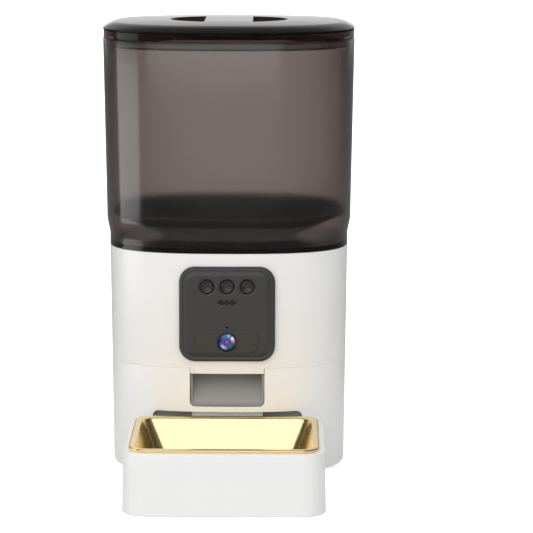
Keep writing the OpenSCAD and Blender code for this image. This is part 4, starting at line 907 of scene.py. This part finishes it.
core_span = (0.50, 0.62)
edge_span = (0.90, 0.98)
edge_ink = (0.004, 0.004, 0.006, 1)
lens_coating, coat_tree, coat_shader = new_material(
    "lens_coating", Roughness=0.4, Specular_IOR_Level=0.15, Coat_Weight=0.3, Coat_Roughness=0.02)
coat_centred = put(coat_tree, "ShaderNodeMapping", {
    "Vector": object_place(coat_tree), "Location": (0, 0, -lens_z / glass_r),
    "Scale": (1 / glass_r, 0, 1 / glass_r)}).outputs[0]
coat_parts = put(coat_tree, "ShaderNodeSeparateXYZ", {"Vector": coat_centred}).outputs
coat_radius = put(coat_tree, "ShaderNodeVectorMath", {0: coat_centred}, operation="LENGTH").outputs["Value"]
coat_turn = calc(coat_tree, "ARCTAN2", coat_parts["Z"], coat_parts["X"])
coat_share = calc(coat_tree, "ADD", calc(coat_tree, "DIVIDE", coat_turn, 2 * math.pi), 0.5)
# Colours painted round the glass: the coating's tint with painted reflections, and a painted white highlight at
# 0.61.
hue_and_highlight_stops = (
    (0.0, (0.02, 0.03, 0.20)), (0.06, (0.10, 0.12, 0.60)), (0.13, (0.55, 0.50, 0.95)), (0.20, (0.30, 0.30, 0.75)),
    (0.27, (0.03, 0.09, 0.16)), (0.34, (0.0, 0.16, 0.12)), (0.43, (0.01, 0.11, 0.10)), (0.47, (0.16, 0.05, 0.28)),
    (0.51, (0.60, 0.18, 0.72)), (0.56, (0.80, 0.45, 0.95)), (0.61, (1.0, 0.95, 1.0)), (0.64, (0.20, 0.12, 0.40)),
    (0.68, (0.05, 0.30, 0.60)), (0.71, (0.12, 0.72, 1.0)), (0.75, (0.07, 0.16, 0.40)), (0.86, (0.06, 0.11, 0.30)),
    (0.94, (0.02, 0.03, 0.18)), (1.0, (0.02, 0.03, 0.20)))
# Rings painted at the centre: painted reflections of the inner lens elements.
core_and_reflection_stops = (
    (0.0, (0.80, 0.45, 1.0)), (0.08, (0.45, 0.12, 0.95)), (0.15, (0.04, 0.015, 0.14)), (0.22, (0.20, 0.10, 0.45)),
    (0.27, (0.025, 0.015, 0.09)), (0.36, (0.13, 0.12, 0.36)), (0.42, (0.02, 0.02, 0.10)),
    (0.50, (0.10, 0.12, 0.36)))


def rainbow(tree, fac, stops):
    """Colour that runs through (place, colour) stops."""
    ramp = put(tree, "ShaderNodeValToRGB", {"Fac": fac})
    for spot, colour in stops[1:-1]:
        ramp.color_ramp.elements.new(spot)
    for element, (spot, colour) in zip(ramp.color_ramp.elements, stops):
        element.position = spot
        element.color = (*colour, 1)
    return ramp.outputs["Color"]


def blend(tree, fac, first, last):
    """Colour between two colours or outputs of other nodes."""
    return put(tree, "ShaderNodeMix", {0: fac, 6: first, 7: last}, data_type="RGBA").outputs[2]


coat_and_reflection_colour = blend(
    coat_tree, fade(coat_tree, coat_radius, core_span, 0.0, 1.0), rainbow(coat_tree, coat_radius, core_and_reflection_stops),
    rainbow(coat_tree, coat_share, hue_and_highlight_stops))
coat_and_reflection_tint = blend(coat_tree, fade(coat_tree, coat_radius, edge_span, 0.0, 1.0), coat_and_reflection_colour, edge_ink)
coat_tree.links.new(coat_and_reflection_tint, coat_shader.inputs["Base Color"])
glass_t = glass_high.y - glass_low.y
dome_rise = glass_t - glass_edge
dome_steps = 10
lens_outline = [(0.0, glass_t), (glass_r, glass_t)]
lens_outline += [
    (glass_r * math.cos(math.pi / 2 * i / dome_steps), dome_rise * (1 - math.sin(math.pi / 2 * i / dome_steps)))
    for i in range(dome_steps + 1)]
lens_mesh = turned(lens_outline, (0, glass_low.y, lens_z), (0, 1, 0))
lens_mesh.materials.append(lens_coating)
lens_glass = new_object("camera_lens", smooth(lens_mesh, crease=50))
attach(lens_glass, "base")
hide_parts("lens_glass")
lamp_clear = moulded(
    "lamp_clear", (0.55, 0.52, 0.62), 0.12, grain=0.001, relief=0.000004, cloud=0.05, Coat_Weight=1.0)
dress(lamp_clear, "infrared_lamps")

# Buttons: three dished charcoal caps with a flange and a plunger behind, loose in the panel's holes over
# their switches. Each cap has a rolled rim.
button_plastic = moulded("button_plastic", (0.022, 0.0205, 0.0195), 0.34, grain=0.0004)
cap_r = 0.0049
flange_r = 0.007375
flange_t = 0.001
plunger_r = 0.002
plunger_l = 0.002
dish_in = 0.0013
dish_shares = (0.2, 0.4, 0.55, 0.7, 0.8, 0.88)
cap_edge = 0.0005
for name, x in zip(button_names, button_xs):
    low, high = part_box(name)
    button_l = high.y - low.y
    cap_back = button_l - plunger_l
    outline = [(0.0, dish_in)]
    outline += [(cap_r * s, dish_in * (1 - (s / dish_shares[-1]) ** 2)) for s in dish_shares]
    outline += [(cap_r - cap_edge, 0.0), (cap_r - 0.4 * cap_edge, 0.2 * cap_edge), (cap_r, cap_edge)]
    outline += [
        (cap_r, cap_back - flange_t), (flange_r, cap_back - flange_t), (flange_r, cap_back), (plunger_r, cap_back),
        (plunger_r, button_l), (0.0, button_l)]
    cap_mesh = turned(outline, (x, low.y, button_z), (0, 1, 0))
    cap_mesh.materials.append(button_plastic)
    cap = new_object(name + "_cap", smooth(cap_mesh))
    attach(cap, name)
    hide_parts(name)

# Chute, deck and drive: a grey chute bent down to the front, a deck across the shell, and a motor with a
# pinion and a large acetal gear between two plates, on a steel shaft in bronze bushes.
gear_plastic = moulded("gear_plastic", (0.78, 0.75, 0.66), 0.4, grain=0.0008)
bush_bronze = brushed("bush_bronze", (0.55, 0.36, 0.16), 0.4, stretch=(1, 1, 1))
dress(grey_plastic, "chute", "deck", "tact_switches")
dress(gear_plastic, "pinion", "drive_gear")
dress(bush_bronze, "upper_bush", "lower_bush")
dress(bright_steel, "motor", "motor_plate", "motor_shaft", "drive_shaft")

# Tank: one moulding in brown smoked plastic that stands on the body rim, darker where one looks through more
# of its wall. It widens over a soft shoulder, and its floor has a round hole for the rotor housing.
tank_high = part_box("tank")[1]
tank_rim_z = tank_high.z
tank_out = tank_high.x - half_w
shoulder_out = 0.0022
neck_h = 0.0094
shoulder_h = 0.011
neck_z = rim_z + neck_h
shoulder_z = neck_z + shoulder_h
tank_wall_t = 0.0024
tank_floor_t = 0.003
tank_floor_z = rim_z + tank_floor_t
tank_lip_out, tank_lip_in = 0.0008, 0.0006
floor_corner = 0.0012
floor_in = 0.01
bore_over = 0.005
seat_ease = 0.0001
rotor_y = sum(corner.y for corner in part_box("drive_gear")) / 2
housing_r = 0.0504
tank_round = 0.0085
smoked_plastic = moulded(
    "smoked_plastic", (0.96, 0.955, 0.95), 0.16, grain=0.0009, relief=0.000004, Transmission_Weight=1.0, IOR=1.45)
smoke_tree = smoked_plastic.node_tree
smoke = put(smoke_tree, "ShaderNodeVolumeAbsorption", {"Color": (0.177, 0.078, 0.051, 1), "Density": 430})
smoke_tree.links.new(smoke.outputs["Volume"], smoke_tree.nodes["Material Output"].inputs["Volume"])
tank = plan_wall("food_tank", rounded([
    (0, rim_z, 0),
    (0, rim_z + seat_ease, 0),
    (0, neck_z, tank_round),
    (shoulder_out, shoulder_z, tank_round),
    (tank_out, tank_rim_z, tank_lip_out),
    (tank_out - tank_wall_t, tank_rim_z, tank_lip_in),
    (shoulder_out - tank_wall_t, shoulder_z, tank_round),
    (-tank_wall_t, neck_z, tank_round / 2),
    (-tank_wall_t, tank_floor_z, floor_corner),
    (-tank_wall_t - floor_in, tank_floor_z, 0),
], closed=False), smoked_plastic, closed=False)
carve(tank, rod(0, rotor_y, rim_z - bore_over, tank_floor_z + bore_over, housing_r + seat_gap))
smooth(tank.data)
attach(tank, "tank")
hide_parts("tank")

# Funnel, rotor housing and rotor: a dark sloped liner leads the food into a round chamber under the tank,
# where a six-armed rotor with soft orange tips and an agitator doses it past a baffle.
tip_silicone = moulded("tip_silicone", (0.78, 0.30, 0.08), 0.6, relief=0.00003, Subsurface_Weight=0.15)
dress(dark_plastic, "funnel", "rotor_housing", "outlet_baffle")
dress(grey_plastic, "rotor", "agitator")
dress(tip_silicone, "paddle_tips")

# Lid: a glossy black plate with a soft crown over a smoked band, and two finger pockets either side of a
# grip bar. A fine groove parts plate and band, and a skirt with a soft seal drops into the tank.
lid_low, lid_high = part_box("lid")
lid_top_z = lid_high.z
band_h = 0.0066
band_in = 0.0004
groove_in = 0.0016
groove_h = 0.0006
band_round = 0.0003
edge_h = 0.0012
plate_z = tank_rim_z + band_h
edge_z = plate_z + edge_h
roll_h, roll_w = 0.0038, 0.012
crown_h, crown_w = lid_top_z - edge_z - roll_h, 0.060
crown_steps = 28
crown_bias = 2.2
plate_round = 0.0003
lid_wall = 0.0018
lid_top_t = 0.0026
seal_t = 0.003
skirt_out = tank_out - tank_wall_t - fit_gap - seal_t / 2
skirt_in = skirt_out - lid_wall - 0.001
skirt_root, skirt_round = 0.0002, 0.0005
grip_w, grip_d, grip_bar = 0.0924, 0.0675, 0.0388
grip_steps = 28
pocket_floor_z = tank_rim_z + 0.0006
pocket_draft = 0.004
pocket_round = 0.0008
pocket_over = 0.01
lit_pocket_facing = -0.3
lid_plastic = moulded("lid_plastic", (0.010, 0.0095, 0.0092), 0.11, grain=0.0012, relief=0.000003, IOR=1.45)
band_plastic = moulded(
    "band_plastic", (0.16, 0.115, 0.107), 0.06, grain=0.0009, relief=0.000002, Transmission_Weight=1.0, IOR=1.2)
# Painted shade: a deeper, matter black on the plate's edge and the groove under it, where the overhang's shade
# falls.
edge_black = moulded("edge_black", (0.004, 0.0035, 0.0033), 0.35, grain=0.0009, relief=0.000004, IOR=1.2)
# Painted light: a brown lighter than the black lid, put on the pocket walls that face the front, where the front
# lamps fall.
pocket_plastic = moulded("pocket_plastic", (0.034, 0.022, 0.019), 0.3, grain=0.0009, relief=0.000004)


def crown_at(inset):
    """Height of the lid's top at a distance in from its edge."""
    return lid_top_z - crown_h * (1 - inset / crown_w) ** 2 - roll_h * max(0, 1 - inset / roll_w) ** 2


crown_insets = [crown_w * (1 - i / crown_steps) ** crown_bias for i in range(crown_steps)]
crown_insets = [inset for inset in crown_insets if inset > plate_round]
lid_outline = [(tank_out - inset, crown_at(inset), 0) for inset in crown_insets]
lid_outline += [
    (tank_out, edge_z, plate_round),
    (tank_out, plate_z, plate_round),
    (tank_out - groove_in, plate_z, 0),
    (tank_out - groove_in, plate_z - groove_h, 0),
    (tank_out - band_in, plate_z - groove_h, 0),
    (tank_out - band_in, tank_rim_z + seat_ease, band_round),
    (skirt_out, tank_rim_z + seat_ease, skirt_root),
    (skirt_out, lid_low.z, skirt_round),
    (skirt_in, lid_low.z, skirt_round),
    (skirt_in, tank_rim_z + lid_wall, 0),
    (tank_out - band_in - lid_wall, tank_rim_z + lid_wall, 0),
]
lid_inner = [inset for inset in reversed(crown_insets) if inset > band_in + lid_wall]
lid_outline += [(tank_out - inset, crown_at(inset) - lid_top_t, 0) for inset in lid_inner]
lid = plan_wall("lid_moulding", rounded(lid_outline, closed=False), lid_plastic, closed=False)
for finish in (band_plastic, pocket_plastic, edge_black):
    lid.data.materials.append(finish)


def grip_outline(side, out, z):
    """One finger pocket seen from above: the end of an ellipse, cut off straight beside the grip bar."""
    wide, deep = grip_w / 2 + out, grip_d / 2 + out
    cut = grip_bar / 2 - out
    limit = math.acos(cut / wide)
    turns = [limit * (2 * k / grip_steps - 1) for k in range(grip_steps + 1)]
    return [(side * wide * math.cos(t), middle_y + deep * math.sin(t), z) for t in turns]


pocket_cup = (
    (lid_wall - pocket_draft, pocket_floor_z - lid_wall), (lid_wall, lid_top_z - lid_top_t),
    (lid_wall, lid_top_z - lid_top_t / 2))
pocket_room = (
    (-pocket_draft, pocket_floor_z), (0.0, lid_top_z - lid_top_t), (0.0, lid_top_z - pocket_round),
    (pocket_round, lid_top_z + seat_ease), (pocket_round, lid_top_z + pocket_over))
for side in (-1, 1):
    carve(lid, loft([grip_outline(side, out, z) for out, z in pocket_cup]), "UNION")
    carve(lid, loft([grip_outline(side, out, z) for out, z in pocket_room]))
# Pocket walls that face the front take the painted light.
pocket_top_z = lid_top_z - pocket_round - seat_ease
# Faces of the plate's edge and the groove under it take the painted shade.
for face in lid.data.polygons:
    across, along, up = face.center
    past_x, past_y = abs(across) - grip_w / 2, abs(along - middle_y) - grip_d / 2
    in_pocket = past_x < 0 and past_y < 0
    by_pocket = past_x < pocket_draft and past_y < pocket_draft
    if up < plate_z - groove_h and not by_pocket:
        face.material_index = 1
    elif in_pocket and face.normal.y < lit_pocket_facing and pocket_floor_z < up < pocket_top_z:
        face.material_index = 2
    elif up < edge_z and not by_pocket:
        face.material_index = 3
smooth(lid.data)
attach(lid, "lid")
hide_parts("lid")
seal_silicone = moulded("seal_silicone", (0.5, 0.5, 0.5), 0.6, grain=0.0006, Subsurface_Weight=0.1)
dress(seal_silicone, "lid_seal")

# Tray: a white moulding with round corners that widens towards the floor, hollow below, with a pocket that
# the bowl hangs in. A tongue at its back hooks into the slot of the body.
bowl_low, bowl_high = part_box("bowl")
tray_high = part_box("bowl_tray")[1]
bowl_proud = 0.0027
tray_h = bowl_high.z - bowl_proud
tray_rim = 0.0037
rim_in = tray_rim + fit_gap / 2
rim_gap = 0.001
tray_w = bowl_high.x - bowl_low.x + 2 * rim_in
tray_front_y = bowl_low.y - rim_in
tray_back_y = bowl_high.y + rim_gap
tray_l = tray_back_y - tray_front_y
tray_mid_y = (tray_front_y + tray_back_y) / 2
tray_corner = 0.018
tray_steps = 14
tray_lean = 0.0012
tray_wall = 0.0024
tray_edge = 0.0009
tray_foot_in, tray_foot_h = 0.0006, 0.0008
tray_levels = (0.012, 0.024, 0.036)
pocket_play = 0.001
pocket_edge = 0.0003
pocket_end = 0.02
inner_corner = 0.003
bowl_t = 0.001
bowl_flange = 0.0052
bowl_depth = 0.033
pocket_in = tray_rim + bowl_flange - bowl_t - fit_gap
pocket_z = tray_h - bowl_depth - bowl_t - pocket_play
tongue_w = 0.056
tongue_play = 0.0015
tongue_round = 0.0006
tongue_low_z = slot_top_z - slot_h + tongue_play
hook_gap = 0.004


def tray_rings(rows):
    """Rings of the tray's plan, from (inset, height) rows. The back is cut off straight against the body."""
    return [[
        (p.x, min(tray_mid_y + p.y, tray_back_y), z)
        for p in rounded_rectangle(
            tray_w - 2 * inset, tray_l - 2 * inset, max(tray_corner - inset, inner_corner), tray_steps)
    ] for inset, z in rows]


def tray_lean_out(z):
    """Inset of the tray's outside at a height: it widens towards the floor."""
    return -tray_lean * (tray_h - z) / tray_h


ceiling_z = tray_h - tray_wall
under_in = pocket_in - tray_wall / 2
tray_rows = [
    (under_in + pocket_end, pocket_z - tray_wall),
    (under_in, pocket_z - tray_wall),
    (under_in, ceiling_z),
    (tray_wall, ceiling_z),
    (tray_wall - tray_lean, 0.0),
    (tray_lean_out(0) + tray_foot_in, 0.0),
    (tray_lean_out(0), tray_foot_h),
]
tray_rows += [(tray_lean_out(z), z) for z in (*tray_levels, tray_h - tray_edge)]
tray_rows += [
    (tray_edge * (1 - math.cos(a)), tray_h - tray_edge + tray_edge * math.sin(a)) for a in roll[1:]]
tray_rows += [
    (pocket_in - pocket_edge, tray_h), (pocket_in, tray_h - pocket_edge), (pocket_in, pocket_z + pocket_play),
    (pocket_in + pocket_play, pocket_z), (pocket_in + pocket_end, pocket_z)]
tray = new_object("tray_moulding", loft(tray_rings(tray_rows)))
tray.data.materials.append(white_plastic)


def block(low, high, edge):
    """Box with small rounded edges."""
    made = bmesh.new()
    bmesh.ops.create_cube(made, size=1)
    size = Vector(high) - Vector(low)
    middle = (Vector(high) + Vector(low)) / 2
    place = Matrix.Translation(middle) @ Matrix.Diagonal((*size, 1))
    bmesh.ops.transform(made, matrix=place, verts=made.verts)
    bmesh.ops.bevel(made, geom=list(made.edges), offset=edge, segments=3, profile=0.5, affect="EDGES")
    return mesh_from(made, "block")


hook_y = tray_back_y + shell_wall + hook_gap
for back_y, top_z in ((tray_back_y - tray_wall, tray_h - bowl_t), (hook_y, tray_high.z)):
    carve(tray, block(
        (-tongue_w / 2, back_y, tongue_low_z), (tongue_w / 2, tray_high.y, top_z), tongue_round), "UNION")
smooth(tray.data)
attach(tray, "tray")
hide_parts("bowl_tray")

# Bowl: one deep-drawn sheet of stainless steel with a polished gold-coloured finish. Its flange is turned
# down at the edge into a bead that stands on the tray, and the walls slope in to a rounded floor.
bowl_slope = 0.011
mouth_in = tray_rim + bowl_flange
mouth_corner = tray_corner - mouth_in
corner_growth = 0.6
corner_limit = 0.48
bowl_floor_in = 0.022
bowl_steps = 8
flange_share, mouth_share, floor_share = 0.6, 0.4, 0.9
bowl_floor_z = tray_h - bowl_depth
mouth_round = 0.0016
floor_round = 0.009
bead_r = 0.0009
bead_in = 0.0006
gold_steel = brushed("gold_steel", (0.95, 0.75, 0.39), 0.22, stretch=(14, 1, 1))


def bowl_side(out):
    """Outline of the bowl's wall from the flange down to the floor, moved out by a sheet thickness."""
    return rounded([
        (rim_in + bead_r + out * flange_share, bowl_high.z - out, 0),
        (mouth_in - out * mouth_share, bowl_high.z - out, mouth_round + out),
        (mouth_in + bowl_slope - out * floor_share, bowl_floor_z - out, floor_round + out),
        (mouth_in + bowl_slope + bowl_floor_in, bowl_floor_z - out, 0),
    ], closed=False, steps=bowl_steps)


def bowl_rings(points):
    """Rings of the bowl from (inset, height) points. The flange is wider at the back, where it meets the body."""
    back_share = (mouth_in - rim_gap) / (mouth_in - rim_in)
    made = []
    for p in points:
        corner = tray_corner - p.x if p.x < mouth_in else mouth_corner + corner_growth * (p.x - mouth_in)
        back = tray_back_y - (mouth_in - (mouth_in - p.x) * back_share if p.x < mouth_in else p.x)
        front = tray_front_y + p.x
        corner = min(corner, corner_limit * (back - front))
        outline = rounded_rectangle(tray_w - 2 * p.x, back - front, corner, tray_steps)
        made.append([(q.x, (back + front) / 2 + q.y, p.y) for q in outline])
    return made


bead_arc = [
    Vector((rim_in + bead_r * (1 - math.sin(a)), bowl_high.z - bead_r * (1 + math.cos(a))))
    for a in [math.pi * k / bowl_steps for k in range(1, bowl_steps)]]
bowl_lip = [
    Vector((rim_in + bead_in + bowl_t * flange_share, tray_h + seat_ease)),
    Vector((rim_in + bead_in, tray_h + seat_ease)),
    Vector((rim_in + bead_in, bowl_high.z - 2 * bead_r))]
bowl_points = list(reversed(bowl_side(bowl_t))) + bowl_lip + list(reversed(bead_arc)) + bowl_side(0)
bowl_mesh = loft(bowl_rings(bowl_points))
bowl_mesh.materials.append(gold_steel)
bowl = new_object("steel_bowl", smooth(bowl_mesh, crease=40))
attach(bowl, "bowl")
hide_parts("bowl")
